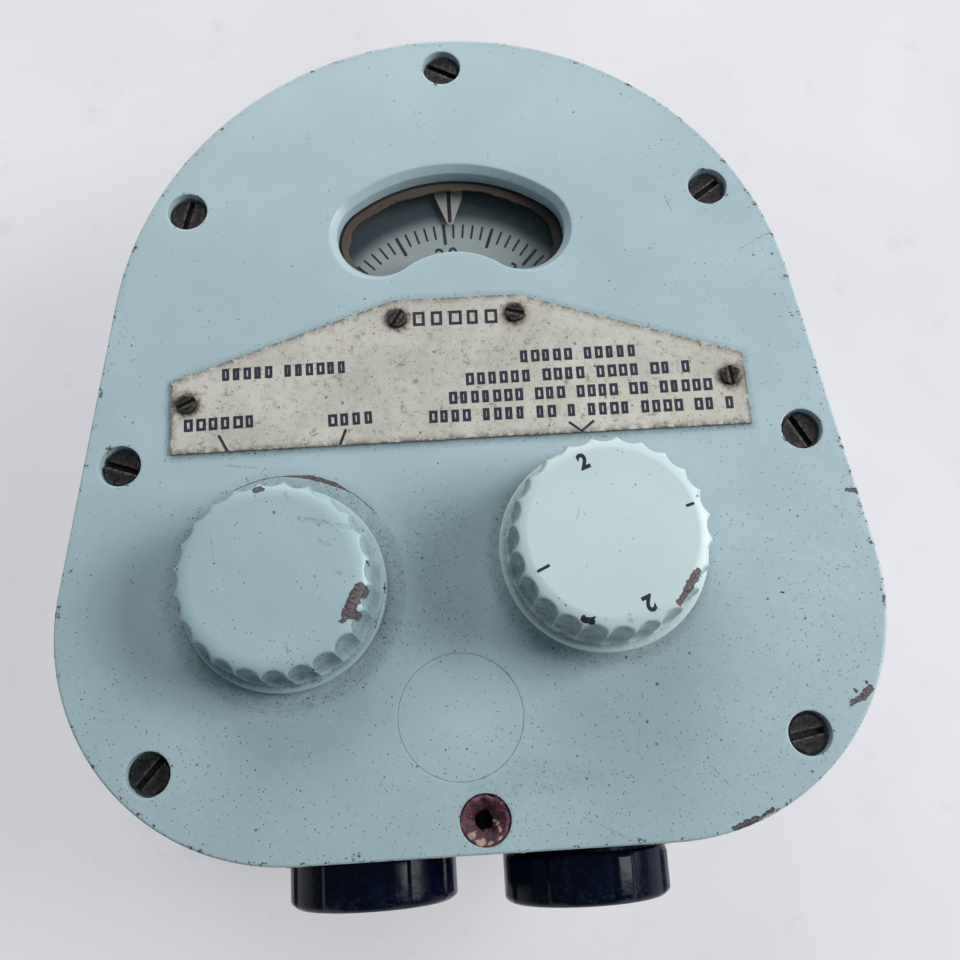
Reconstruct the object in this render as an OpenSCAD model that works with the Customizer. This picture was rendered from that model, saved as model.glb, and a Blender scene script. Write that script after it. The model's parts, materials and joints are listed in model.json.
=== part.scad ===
// Speed input control unit of an aircraft flight computer.
// A D-shaped painted front panel carries a window with a turning speed dial, a two-position
// function switch and a pull-out speed setting control. A gear train drives the dial and a
// synchro transmitter, and two capped connectors leave the lower wall of the case.
// Lies on its back: +Z is the way the panel faces, +Y is the top of the panel.
// The origin is the middle of the rear face, behind the centre of the panel's top arc.

/* [Front panel] */
// Radius of the panel's top arc
panel_top_r = 79.1; // [79:0.1:80]
// Sideways distance of each lower corner arc's centre
corner_x = 38.55; // [38:0.05:39]
// Distance of the lower corner arcs' centres below the top arc's centre
corner_drop = 62.18; // [62:0.02:63]
// Radius of the lower corner arcs
corner_r = 50.45; // [50:0.05:51]
// Panel thickness
panel_t = 5; // [4.6:0.1:5.4]
// Depth of the whole unit from the rear face to the panel's face
unit_depth = 70; // [70:0.5:76]

/* [Case] */
// How far the case stands inside the panel's edge
case_inset = 3; // [2.6:0.1:3.2]
// Thickness of the case wall
case_wall = 3.2; // [2.8:0.1:3.4]
// Thickness of the case floor
case_floor = 3; // [2.6:0.1:3.4]
// Thickness of the gasket between case and panel
gasket_t = 1; // [0.8:0.1:1.2]
// Sideways spacing of the four rear fixing holes
rear_spacing_x = 90; // [84:1:94]
// Vertical spacing of the four rear fixing holes
rear_spacing_y = 110; // [104:1:112]

/* [Dial] */
// Height of the dial's axis above the centre of the top arc
dial_y = 2.8; // [2.4:0.1:3.2]
// Radius of the dial card
dial_r = 41; // [40:0.5:42]
// Depth of the dial card below the panel's face
dial_depth = 10.4; // [10.2:0.1:10.6]

/* [Controls] */
// Radius of the ring at the foot of each knob
knob_r = 21.9; // [21.7:0.1:22.1]
// Height of each knob
knob_h = 17; // [16:0.5:18]
// Number of flutes round each knob
flute_count = 24; // [20:2:28]
// How far the speed control stands pulled out
pull_out = 6; // [5:0.5:6]
// Radius of both control shafts
shaft_r = 3.175; // [3.1:0.025:3.2]

/* [Gears] */
// Teeth of the dial gear
dial_teeth = 96; // [96:4:96]
// Teeth of the setting pinion
setting_teeth = 28; // [28:4:28]
// Teeth of the synchro pinion
synchro_teeth = 20; // [20:4:20]

/* [Connectors] */
// Radius of each dust cap
cap_r = 19.5; // [19.2:0.1:19.6]
// Length of each dust cap
cap_len = 10.6; // [10.2:0.1:11]
// Depth of the connector axes below the panel's face
connector_depth = 30; // [29:0.5:31]
// How far the right cap is screwed back
cap_slack = 1.8; // [1.5:0.1:2]

/* [Hidden] */
$fn = 64;

// Small shared sizes
run_gap = 0.04;
part_gap = 0.3;

// Levels above the rear face
face_z = unit_depth;
panel_z = face_z - panel_t;
rim_z = panel_z - gasket_t;

// Panel screws: round one side of the panel, the other side is its mirror
screw_top = [0, 71.2];
screw_side = [[61.9, 35], [76, -26.8], [68.4, -92.9]];
panel_screw_spots = concat([screw_top], screw_side, [for (p = screw_side) [-p.x, p.y]]);
panel_screw_turns = [-28, 35, -62, 10, 75, -20, 48];
sealed_spot = [0, -106];
screw_head_r = 4;
screw_head_h = 2.2;
screw_sink = 1.6;
screw_shank_r = 2.3;
screw_slot_w = 1.2;
screw_slot_depth = 1.1;
screw_well_r = 4.6;
screw_reach = 11;
seal_well_r = 5.25;
seal_sink = 2.6;
lug_r = 5.6;
lug_h = 14;
lug_hole_r = 2.35;

// Rear fixing: four blind tapped bosses
rear_y = -20;
rear_hole_r = 2;
rear_hole_depth = 10;
boss_r = 6;
boss_h = 12;

// Blanking disc cemented into the panel below the controls
disc_spot = [-3.9, -85.2];
disc_r = 13;
disc_t = 3;
disc_ledge = 2.5;
disc_gap = 0.08;

// Legend plate: a low gable lying across the panel
legend_half_w = 64.8;
legend_foot_y = -25.1;
legend_eave_y = -8;
legend_ridge_y = 9.2;
legend_ridge_half_w = 14.4;
legend_t = 0.8;
legend_screw_spots = [[-61.2, -13.6], [61.2, -13.6], [-13.5, 4.5], [13.5, 4.5]];
legend_head_r = 2.25;
legend_head_h = 1;
legend_shank_r = 1.2;
legend_hole_depth = 3.5;

// Window: a crescent whose four arcs run smoothly into each other
win_outer_y = 5;
win_outer_r = 37.7;
win_lobe = [16.75, 26.85];
win_lobe_r = 10.2;
win_bump_y = 2.3;
win_bump_r = 19.6;
win_lobe_turn = atan2(win_lobe.y - win_outer_y, win_lobe.x);
win_bump_turn = atan2(win_lobe.y - win_bump_y, win_lobe.x);
win_gasket_t = 0.8;
win_glass_t = 2;
win_flange_t = 1.2;
glass_lap = 6;
retainer_lap = 11;
retainer_lip = 2.6;
gasket_lip = -2.6;
glass_z = panel_z - win_gasket_t - win_glass_t;
retainer_z = glass_z - win_flange_t;
retainer_screw_lap = 8.6;
retainer_top_turns = [72, 108];
retainer_end_turns = [-35, 20];

// Index pointer, hanging from the top of the window
index_tip_y = 33.4;
index_shoulder_y = 40.9;
index_top_y = 49.6;
index_tip_w = 1.4;
index_top_w = 6.9;
index_t = 0.4;
index_rivet_r = 0.8;
index_rivet_x = 2.2;
index_rivet_y = 48.2;

// Mechanism plate and its pillars
plate_inset = 9;
plate_foot_y = -95;
plate_z = 46;
plate_t = 3;
plate_top = plate_z + plate_t;
pillar_spots = [[50, 42], [-50, 42], [66, -58], [-66, -58]];
pillar_r = 4;
pillar_spigot_r = 1.9;
pillar_spigot_h = 3;
pillar_screw_r = 1.5;
pillar_head_r = 2.8;
pillar_head_h = 2;
pillar_screw_len = 8;

// Axes of the mechanism
dial_axis = [0, dial_y];
input_axis = [27.9, -52.8];
switch_axis = [-39.8, -56.6];
input_span = norm(input_axis - dial_axis);
input_turn = atan2(input_axis.y - dial_axis.y, input_axis.x - dial_axis.x);
gear_module = 2 * input_span / (dial_teeth + setting_teeth);
synchro_pitch_steps = 8;
synchro_turn = input_turn - synchro_pitch_steps * 360 / dial_teeth;
synchro_span = gear_module * (dial_teeth + synchro_teeth) / 2;
synchro_axis = dial_axis + synchro_span * [cos(synchro_turn), sin(synchro_turn)];

// Gear teeth
pressure_angle = 20;
tooth_slack = 0.14;
gear_z = 51.5;
gear_t = 3;
pinion_t = 4;
dial_web_holes = 6;
dial_web_r = 28;
dial_web_hole_r = 10;

// Dial train
card_t = 1;
card_z = face_z - dial_depth - card_t;
carrier_r = 33;
carrier_t = 1;
carrier_z = card_z - carrier_t;
dial_hub_r = 10;
dial_hub_z = plate_top + 1 + part_gap;
spindle_r = 4;
spindle_z = 40;
spindle_clip_r = 6.5;
clip_t = 0.8;
dial_bush_r = 6.5;
bush_flange_t = 1;
bush_flange_r = 9;
dial_bush_z = 43;
dial_screw_r = 1;
dial_screw_head_r = 1.9;
dial_screw_head_h = 0.7;
dial_screw_ring_r = 6.2;
fit_gap = 0.02;

// Speed setting control
knob_lift = 1;
input_z = face_z + knob_lift + pull_out;
switch_z = face_z + knob_lift;
bush_thread_r = 4.8;
bush_hole_r = 5;
bush_top = face_z + 3.4;
input_bush_flange_r = 8;
input_bush_z = 62.5;
nut_flat_r = 7;
nut_t = 2.4;
detent_ring_r = 4.2;
detent_ring_t = 1;
pinion_hub_r = 6.6;
sleeve_r = 5;
sleeve_z = 43;
sleeve_top = 58;
input_bush_r = 7;
input_bearing_z = 44.8;
shaft_top_in_knob = 15;
input_shaft_z = 38;
shaft_clip_z = 40.4;
shaft_clip_r = 5.6;

// Knobs
knob_ring_h = 2.4;
knob_wall_r = 20.5;
knob_shoulder_r = 20.3;
knob_top_r = 17.2;
knob_shoulder_h = 3.6;
knob_cavity_r = 16.5;
knob_cavity_h = 8;
knob_hub_r = 6.5;
knob_hub_z = 3;
flute_r = 4.1;
flute_depth = 1.4;
flute_z = knob_ring_h;
grub_r = 1.5;
grub_z = 11;
grub_len = 8;
grub_hole_len = 24;

// Function switch
switch_housing_r = 17;
switch_housing_z = 56;
wafer_r = 17;
wafer_bore_r = 8.2;
wafer_t = 1.6;
wafer_levels = [44, 34];
rotor_r = 7.9;
switch_shaft_z = 31;
contact_count = 8;
contact_in_r = 15;
contact_out_r = 20;
contact_w = 2;
contact_t = 0.5;
tie_ring_r = 13;
tie_r = 1.4;
tie_head_r = 2.4;
tie_head_h = 1.4;
spacer_r = 2.6;
spacer_bore_r = 1.5;
plate_switch_hole_r = 21;

// Synchro transmitter
synchro_r = 13.5;
synchro_z = 8;
synchro_boss_r = 9;
synchro_groove_r = 12;
synchro_groove_z = 41.5;
synchro_groove_h = 2;
synchro_shaft_r = 2.4;
synchro_shaft_z = 30;
synchro_shaft_top = 57.5;
synchro_terminal_count = 5;
synchro_terminal_ring_r = 7;
synchro_terminal_r = 1;
synchro_terminal_h = 3;
clamp_count = 3;
clamp_first_turn = 100;
clamp_ring_r = 16;
clamp_r = 3.9;
clamp_screw_r = 1.25;
clamp_head_r = 2.2;
clamp_head_h = 1.5;
clamp_screw_z = 41.5;

// Connectors on the lower wall
connector_xs = [-25.4, 22.3];
connector_z = face_z - connector_depth;
wall_y = -(corner_drop + corner_r - case_inset);
connector_gasket_t = 0.8;
flange_half = 18.5;
flange_t = 2;
flange_y = wall_y - connector_gasket_t;
shell_r = 15.6;
shell_bore_r = 13.2;
shell_rear_r = 15;
shell_wall_hole_r = 15.2;
shell_rear_y = -97;
shell_end_y = -121;
thread_relief_w = 1;
insert_r = 13.1;
insert_front_y = -119.6;
insert_rear_y = -99;
pin_hole_r = 0.9;
pin_hole_depth = 8;
pin_rings = [[1, 0], [5, 4.5], [10, 9]];
flange_screw_at = 15.4;
flange_screw_r = 1.3;
flange_head_r = 2.2;
flange_head_h = 1.3;
flange_screw_len = 5;

// Dust caps
cap_top_y = flange_y - flange_t - 0.5;
cap_body_r = cap_r - 0.5;
cap_bore_r = 15.9;
cap_end_t = 1.9;
cap_rim_bevel = 0.9;
cap_rib_count = 8;
cap_rib_w = 4.2;
cap_rib_turn = 24;
cap_seal_t = 0.5;
cap_seal_in_r = 13.5;

// Terminal block and wiring
block_size = [44, 14, 10];
block_spot = [4, -6];
block_ways = 6;
block_screw_r = 1.6;
block_barrier_t = 1.2;
block_barrier_h = 3;
loom_r = 2.6;
loom_sides = 8;
loom_left = [[-25.4, -97, 40], [-25.4, -90, 38], [-25.8, -84, 30], [-24, -72, 20],
    [-21, -50, 14], [-17, -30, 11], [-14, -18, 9.5], [-13, -13.7, 9]];
loom_right = [[22.3, -97, 40], [22.3, -90, 38], [23, -84, 30], [24, -72, 20],
    [23, -50, 14], [21, -30, 11], [20, -18, 9.5], [19, -13.7, 9]];

// Points of an arc, in equal steps from one angle to another
function arc(centre, r, from, to, steps) =
    [for (i = [0:steps]) centre + r * [cos(from + (to - from) * i / steps),
                                       sin(from + (to - from) * i / steps)]];

// Angle at which the straight sides leave the top arc
side_turn = atan2(-corner_drop, corner_x)
    + acos((panel_top_r - corner_r) / norm([corner_x, corner_drop]));

// Panel outline, moved inward by inset
function panel_points(inset) = concat(
    arc([0, 0], panel_top_r - inset, side_turn, 180 - side_turn, 36),
    arc([-corner_x, -corner_drop], corner_r - inset, 180 - side_turn, 270, 16),
    arc([corner_x, -corner_drop], corner_r - inset, -90, side_turn, 16));

// Window outline, moved outward by grow
function window_points(grow) = concat(
    arc([0, win_outer_y], win_outer_r + grow, win_lobe_turn, 180 - win_lobe_turn, 28),
    arc([-win_lobe.x, win_lobe.y], win_lobe_r + grow, 184 - win_lobe_turn,
        356 - win_bump_turn, 14),
    arc([0, win_bump_y], win_bump_r - grow, 180 - win_bump_turn, win_bump_turn, 14),
    arc(win_lobe, win_lobe_r + grow, win_bump_turn - 176, win_lobe_turn - 4, 14));

module panel_prism(inset, z, t) {
    translate([0, 0, z]) linear_extrude(t) polygon(panel_points(inset));
}

module window_prism(grow, z, t) {
    translate([0, 0, z]) linear_extrude(t) polygon(window_points(grow));
}

// A disc or a shaft standing on a plan point
module post(spot, r, z, t) {
    translate([spot.x, spot.y, z]) cylinder(r = r, h = t);
}

module washer(spot, r, bore_r, z, t) {
    difference() {
        post(spot, r, z, t);
        post(spot, bore_r, z - 1, t + 2);
    }
}

// A slotted cheese-head screw whose head stands on head_z and whose shank hangs below it
module slotted_screw(spot, head_z, head_r, head_h, shank_r, reach, slot_w, slot_depth, turn) {
    difference() {
        union() {
            post(spot, head_r, head_z, head_h);
            post(spot, shank_r, head_z - reach, reach + head_h / 2);
        }
        translate([spot.x, spot.y, head_z + head_h]) rotate(turn)
            cube([2 * head_r + 1, slot_w, 2 * slot_depth], center = true);
    }
}

// The same screw driven upwards from below, its head hanging under head_z
module rising_screw(spot, head_z, head_r, head_h, shank_r, reach, turn) {
    translate([0, 0, head_z]) mirror([0, 0, 1])
        slotted_screw(spot, 0, head_r, head_h, shank_r, reach, head_r / 3, head_h / 2, turn);
}

// Involute gear blank, tooth 0 on +X
function roll(r, base_r) = tan(acos(base_r / r)) * 180 / PI - acos(base_r / r);
function tooth_half(teeth, m, r) =
    let (base_r = m * teeth / 2 * cos(pressure_angle))
    90 / teeth * (1 - tooth_slack) + roll(m * teeth / 2, base_r) - roll(max(r, base_r), base_r);
function gear_points(teeth, m) =
    let (root_r = m * (teeth / 2 - 1.25), tip_r = m * (teeth / 2 + 0.9),
         foot_r = max(root_r + m / 4, m * teeth / 2 * cos(pressure_angle)),
         rs = [root_r, foot_r, m * teeth / 2, tip_r])
    [for (i = [0:teeth - 1]) for (k = [0:7])
        let (r = rs[k < 4 ? k : 7 - k],
             a = 360 * i / teeth + (k < 4 ? -1 : 1) * tooth_half(teeth, m, r))
        r * [cos(a), sin(a)]];

module gear(spot, teeth, turn, z, t) {
    translate([spot.x, spot.y, z]) rotate(turn)
        linear_extrude(t) polygon(gear_points(teeth, gear_module));
}

// Places children round an axis
module ring_of(spot, count, r, first = 0) {
    for (i = [0:count - 1])
        translate(spot) rotate(first + 360 * i / count) translate([r, 0]) children();
}

// Sweeps a round cable through points, each ring square to the route
function unit(v) = v / norm(v);
function route_way(p, i) = unit(p[min(i + 1, len(p) - 1)] - p[max(i - 1, 0)]);
function ring_points(centre, way, r) =
    let (side = unit(cross(way, [0.2, 0.1, 1])), up = cross(side, way))
    [for (k = [0:loom_sides - 1])
        centre + r * (side * cos(360 * k / loom_sides) + up * sin(360 * k / loom_sides))];
module cable(p, r) {
    n = loom_sides;
    last = len(p) - 1;
    walls = [for (i = [0:last - 1]) for (k = [0:n - 1])
        [i * n + k, i * n + (k + 1) % n, (i + 1) * n + (k + 1) % n, (i + 1) * n + k]];
    start = [for (k = [0:n - 1]) n - 1 - k];
    finish = [for (k = [0:n - 1]) last * n + k];
    polyhedron(points = [for (i = [0:last]) each ring_points(p[i], route_way(p, i), r)],
        faces = concat([start], walls, [finish]));
}

// Turns children so that their +Z points out of the lower wall, at one connector
module at_connector(x, y) {
    translate([x, y, connector_z]) rotate([90, 0, 0]) children();
}

rear_spots = [for (sx = [-1, 1]) for (sy = [-1, 1])
    [sx * rear_spacing_x / 2, rear_y + sy * rear_spacing_y / 2]];
flange_corners = [for (sx = [-1, 1]) for (sy = [-1, 1]) [sx, sy] * flange_screw_at];
all_screw_spots = concat(panel_screw_spots, [sealed_spot]);

module case() {
    color("#8fa6aa") difference() {
        union() {
            difference() {
                panel_prism(case_inset, 0, rim_z);
                panel_prism(case_inset + case_wall, case_floor, rim_z);
            }
            intersection() {
                panel_prism(case_inset, rim_z - lug_h, lug_h);
                union() for (p = all_screw_spots) post(p, lug_r, rim_z - lug_h, lug_h);
            }
            for (p = rear_spots) post(p, boss_r, case_floor / 2, boss_h - case_floor / 2);
        }
        for (p = all_screw_spots) post(p, lug_hole_r, rim_z - lug_h + 2, lug_h);
        for (p = rear_spots) post(p, rear_hole_r, -1, rear_hole_depth + 1);
        for (x = connector_xs) at_connector(x, wall_y - 1) {
            translate([0, 0, -case_wall - 4]) cylinder(r = shell_wall_hole_r, h = case_wall + 6);
            for (c = flange_corners) translate([c.x, c.y, -case_wall - 4])
                cylinder(r = flange_screw_r + fit_gap, h = case_wall + 6);
        }
    }
}

module panel_gasket() {
    color("#4a4038") difference() {
        union() {
            difference() {
                panel_prism(case_inset, rim_z, gasket_t);
                panel_prism(case_inset + case_wall, rim_z - 1, gasket_t + 2);
            }
            intersection() {
                panel_prism(case_inset, rim_z, gasket_t);
                union() for (p = all_screw_spots) post(p, lug_r, rim_z, gasket_t);
            }
        }
        for (p = all_screw_spots) post(p, lug_hole_r + 0.25, rim_z - 1, gasket_t + 2);
    }
}

module front_panel() {
    color("#9fb4b8") difference() {
        panel_prism(0, panel_z, panel_t);
        window_prism(0, panel_z - 1, panel_t + 2);
        for (p = panel_screw_spots) {
            post(p, screw_shank_r + 0.2, panel_z - 1, panel_t + 2);
            post(p, screw_well_r, face_z - screw_sink - screw_head_h, panel_t);
        }
        post(sealed_spot, screw_shank_r + 0.2, panel_z - 1, panel_t + 2);
        post(sealed_spot, seal_well_r, face_z - screw_sink - screw_head_h, panel_t);
        post(disc_spot, disc_r + disc_gap, face_z - disc_t, panel_t);
        post(disc_spot, disc_r - disc_ledge, panel_z - 1, panel_t);
        for (p = [input_axis, switch_axis]) post(p, bush_hole_r, panel_z - 1, panel_t + 2);
        for (p = legend_screw_spots)
            post(p, legend_shank_r + fit_gap, face_z - legend_hole_depth, panel_t);
        for (p = pillar_spots) post(p, pillar_spigot_r + fit_gap, panel_z - 1, pillar_spigot_h + 1);
        for (p = retainer_screw_spots) post(p, 1 + fit_gap, panel_z - 1, 3);
    }
}

module panel_screws() {
    color("#3a342c") for (i = [0:len(panel_screw_spots) - 1])
        slotted_screw(panel_screw_spots[i], face_z - screw_sink - screw_head_h, screw_head_r,
            screw_head_h, screw_shank_r, screw_reach, screw_slot_w, screw_slot_depth,
            panel_screw_turns[i]);
}

module sealed_screw() {
    color("#3a342c") slotted_screw(sealed_spot, face_z - screw_sink - screw_head_h,
        screw_head_r, screw_head_h - 1, screw_shank_r, screw_reach, screw_slot_w,
        screw_slot_depth / 2, 20);
}

module seal_compound() {
    color("#4a1c2c") washer(sealed_spot, seal_well_r - 0.05, 1.7, face_z - seal_sink,
        seal_sink - 0.3);
}

module blanking_disc() {
    color("#9fb4b8") post(disc_spot, disc_r, face_z - disc_t, disc_t);
}

module legend_plate() {
    color("#cfc8b8") difference() {
        translate([0, 0, face_z]) linear_extrude(legend_t) polygon([
            [-legend_half_w, legend_foot_y], [legend_half_w, legend_foot_y],
            [legend_half_w, legend_eave_y], [legend_ridge_half_w, legend_ridge_y],
            [-legend_ridge_half_w, legend_ridge_y], [-legend_half_w, legend_eave_y]]);
        for (p = legend_screw_spots) post(p, legend_shank_r + 0.1, face_z - 1, legend_t + 2);
    }
}

module legend_screws() {
    color("#5a4c38") for (i = [0:len(legend_screw_spots) - 1])
        slotted_screw(legend_screw_spots[i], face_z + legend_t, legend_head_r, legend_head_h,
            legend_shank_r, legend_t + legend_hole_depth - 0.5, 0.6, 0.5, 25 + 70 * i);
}

module window_gasket() {
    color("#8a6a48") difference() {
        window_prism(glass_lap - 1, panel_z - win_gasket_t, win_gasket_t);
        window_prism(gasket_lip, panel_z - win_gasket_t - 1, win_gasket_t + 2);
    }
}

module window_glass() {
    color("#c8d4d4", 0.4) window_prism(glass_lap, glass_z, win_glass_t);
}

// Screws of the window retainer: along its top, round its ends and under its middle
retainer_screw_spots = concat(
    [for (a = retainer_top_turns)
        [0, win_outer_y] + (win_outer_r + retainer_screw_lap) * [cos(a), sin(a)]],
    [for (side = [-1, 1], a = retainer_end_turns)
        [side * (win_lobe.x + (win_lobe_r + retainer_screw_lap) * cos(a)),
         win_lobe.y + (win_lobe_r + retainer_screw_lap) * sin(a)]],
    [[0, win_bump_y + win_bump_r - retainer_screw_lap]]);

module window_retainer() {
    color("#b8b0a0") difference() {
        window_prism(retainer_lap, retainer_z, panel_z - retainer_z);
        window_prism(glass_lap + 0.2, glass_z, panel_t);
        window_prism(retainer_lip, retainer_z - 1, panel_t);
        for (p = retainer_screw_spots) post(p, 1.1, retainer_z - 1, panel_t + 2);
    }
}

module retainer_screws() {
    color("#b09050") for (p = retainer_screw_spots)
        rising_screw(p, retainer_z, 1.9, 1, 1, 5.6, 30);
}

module index_pointer() {
    color("#e8e6dc") difference() {
        translate([0, 0, retainer_z - index_t]) linear_extrude(index_t) polygon([
            [-index_tip_w / 2, index_tip_y], [index_tip_w / 2, index_tip_y],
            [index_top_w / 2, index_shoulder_y], [index_top_w / 2, index_top_y],
            [-index_top_w / 2, index_top_y], [-index_top_w / 2, index_shoulder_y]]);
        for (s = [-1, 1]) post([s * index_rivet_x, index_rivet_y], index_rivet_r + fit_gap,
            retainer_z - 1, 2);
    }
}

module index_rivets() {
    color("#b09050") for (s = [-1, 1])
        post([s * index_rivet_x, index_rivet_y], index_rivet_r, retainer_z - index_t - 0.3,
            index_t + 0.3);
}

module mechanism_plate() {
    color("#b4b6b0") difference() {
        panel_prism(plate_inset, plate_z, plate_t);
        translate([-unit_depth, plate_foot_y - unit_depth, plate_z - 1])
            cube([2 * unit_depth, unit_depth, plate_t + 2]);
        post(dial_axis, dial_bush_r + fit_gap, plate_z - 1, plate_t + 2);
        post(input_axis, input_bush_r + fit_gap, plate_z - 1, plate_t + 2);
        post(synchro_axis, synchro_boss_r + run_gap, plate_z - 1, plate_t + 2);
        post(switch_axis, plate_switch_hole_r, plate_z - 1, plate_t + 2);
        for (p = pillar_spots) post(p, pillar_screw_r + 0.2, plate_z - 1, plate_t + 2);
        ring_of(synchro_axis, clamp_count, clamp_ring_r, clamp_first_turn)
            translate([0, 0, plate_z - 1]) cylinder(r = clamp_screw_r + fit_gap, h = plate_t + 2);
    }
}

module plate_pillars() {
    color("#c0b070") for (p = pillar_spots) difference() {
        union() {
            post(p, pillar_r, plate_top, panel_z - plate_top);
            post(p, pillar_spigot_r, panel_z - 1, pillar_spigot_h + 1 - 0.3);
        }
        post(p, pillar_screw_r + fit_gap, plate_top - 1, pillar_screw_len);
    }
}

module pillar_screws() {
    color("#b09050") for (p = pillar_spots)
        rising_screw(p, plate_z, pillar_head_r, pillar_head_h, pillar_screw_r,
            pillar_screw_len, 60);
}

// A flanged bush let into the mechanism plate
module plate_bush(spot, r, bore_r, z) {
    difference() {
        union() {
            post(spot, r, z, plate_top - z + bush_flange_t / 2);
            post(spot, bush_flange_r, plate_top, bush_flange_t);
        }
        post(spot, bore_r, z - 1, plate_top - z + 4);
    }
}

module dial_bearing() {
    color("#b09050") plate_bush(dial_axis, dial_bush_r, spindle_r + run_gap, dial_bush_z);
}

module dial_card() {
    color("#20242c") difference() {
        washer(dial_axis, dial_r, spindle_r + fit_gap, card_z, card_t);
        ring_of(dial_axis, 3, dial_screw_ring_r, 30)
            translate([0, 0, card_z - 1]) cylinder(r = dial_screw_r + fit_gap, h = card_t + 2);
    }
}

module dial_carrier() {
    color("#b4b6b0") difference() {
        washer(dial_axis, carrier_r, spindle_r + fit_gap, carrier_z, carrier_t);
        ring_of(dial_axis, 3, dial_screw_ring_r, 30)
            translate([0, 0, carrier_z - 1]) cylinder(r = dial_screw_r + fit_gap, h = card_t + 2);
    }
}

module dial_screws() {
    color("#b09050") ring_of(dial_axis, 3, dial_screw_ring_r, 30)
        slotted_screw([0, 0], card_z + card_t, dial_screw_head_r, dial_screw_head_h,
            dial_screw_r, 5, 0.5, 0.35, 40);
}

module dial_gear() {
    color("#c0a050") difference() {
        union() {
            gear(dial_axis, dial_teeth, input_turn, gear_z, gear_t);
            post(dial_axis, dial_hub_r, dial_hub_z, carrier_z - dial_hub_z);
        }
        post(dial_axis, spindle_r + fit_gap, dial_hub_z - 1, unit_depth);
        ring_of(dial_axis, dial_web_holes, dial_web_r)
            translate([0, 0, gear_z - 1]) cylinder(r = dial_web_hole_r, h = gear_t + 2);
        ring_of(dial_axis, 3, dial_screw_ring_r, 30)
            translate([0, 0, carrier_z - 4]) cylinder(r = dial_screw_r + fit_gap, h = 5);
    }
}

module dial_spindle() {
    color("#c8ccd0") post(dial_axis, spindle_r, spindle_z, card_z + card_t - spindle_z);
}

module spindle_clip() {
    color("#5c6064") washer(dial_axis, spindle_clip_r, spindle_r + fit_gap,
        dial_bush_z - part_gap - clip_t, clip_t);
}

// Threaded bush that carries a control shaft through the panel
module threaded_bush(spot, flange_r, flange_z, bore_z) {
    difference() {
        union() {
            post(spot, flange_r, flange_z, panel_z - flange_z);
            post(spot, bush_thread_r, flange_z, bush_top - flange_z);
        }
        post(spot, shaft_r + run_gap, bore_z - 1, bush_top);
    }
}

module bush_nut(spot) {
    difference() {
        translate([spot.x, spot.y, face_z]) cylinder(r = nut_flat_r / cos(30), h = nut_t, $fn = 6);
        post(spot, bush_thread_r + fit_gap, face_z - 1, nut_t + 2);
    }
}

module input_bush() {
    color("#c0b070") difference() {
        threaded_bush(input_axis, input_bush_flange_r, input_bush_z, input_bush_z);
        post(input_axis, detent_ring_r + fit_gap, input_bush_z - 1, detent_ring_t + 1);
    }
}

module input_bush_nut() {
    color("#c0b070") bush_nut(input_axis);
}

module detent_ring() {
    color("#5c6064") washer(input_axis, detent_ring_r, shaft_r + 2 * run_gap, input_bush_z,
        detent_ring_t);
}

module input_bearing() {
    color("#b09050") plate_bush(input_axis, input_bush_r, sleeve_r + run_gap, input_bearing_z);
}

module setting_pinion() {
    color("#c0a050") difference() {
        union() {
            gear(input_axis, setting_teeth, input_turn + 180 + 180 / setting_teeth,
                gear_z - 0.5, pinion_t);
            post(input_axis, pinion_hub_r, plate_top + bush_flange_t + part_gap,
                sleeve_top - plate_top - bush_flange_t - part_gap);
            post(input_axis, sleeve_r, sleeve_z, sleeve_top - sleeve_z);
        }
        post(input_axis, shaft_r + run_gap, sleeve_z - 1, unit_depth);
    }
}

module pinion_clip() {
    color("#5c6064") washer(input_axis, input_bush_r, sleeve_r + fit_gap,
        input_bearing_z - part_gap - clip_t, clip_t);
}

// A fluted control knob with a foot ring, a rounded shoulder and a hollow underside
module knob(spot, z, grub_turn) {
    wall_top = knob_h - knob_shoulder_h;
    shoulder = arc([knob_top_r, wall_top], 1, 90, 0, 8);
    shoulder_w = knob_shoulder_r - knob_top_r;
    translate([spot.x, spot.y, z]) difference() {
        rotate_extrude() polygon(concat(
            [[0, knob_hub_z], [knob_hub_r, knob_hub_z], [knob_hub_r, knob_cavity_h],
             [knob_cavity_r, knob_cavity_h], [knob_cavity_r, 0], [knob_r, 0],
             [knob_r, knob_ring_h], [knob_wall_r, knob_ring_h + 0.4]],
            [for (i = [8:-1:0]) [knob_top_r + (shoulder[i].x - knob_top_r) * shoulder_w,
                                 wall_top + (shoulder[i].y - wall_top) * knob_shoulder_h]],
            [[0, knob_h]]));
        for (i = [0:flute_count - 1]) rotate(360 * i / flute_count)
            translate([knob_wall_r + flute_r - flute_depth, 0, flute_z])
                cylinder(r = flute_r, h = knob_h, $fn = 24);
        translate([0, 0, knob_hub_z - 1]) cylinder(r = shaft_r + fit_gap,
            h = shaft_top_in_knob - knob_hub_z + 1.2);
        translate([0, 0, grub_z]) rotate([0, 90, grub_turn])
            cylinder(r = grub_r + fit_gap, h = grub_hole_len, $fn = 24);
    }
}

// A headless screw locking a knob to its shaft
module grub_screw(spot, z, turn) {
    translate([spot.x, spot.y, z + grub_z]) rotate([0, 90, turn])
        difference() {
            translate([0, 0, shaft_r + fit_gap]) cylinder(r = grub_r, h = grub_len, $fn = 24);
            translate([0, 0, shaft_r + grub_len]) cube([4 * grub_r, 0.6, 2], center = true);
        }
}

switch_grub_turn = 82.5;
input_grub_turn = 97.5;

module input_knob() {
    color("#aebcc0") knob(input_axis, input_z, input_grub_turn);
}

module input_shaft() {
    color("#c8ccd0") post(input_axis, shaft_r, input_shaft_z,
        input_z + shaft_top_in_knob - input_shaft_z);
}

module shaft_clip() {
    color("#5c6064") washer(input_axis, shaft_clip_r, shaft_r + fit_gap, shaft_clip_z, clip_t);
}

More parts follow.
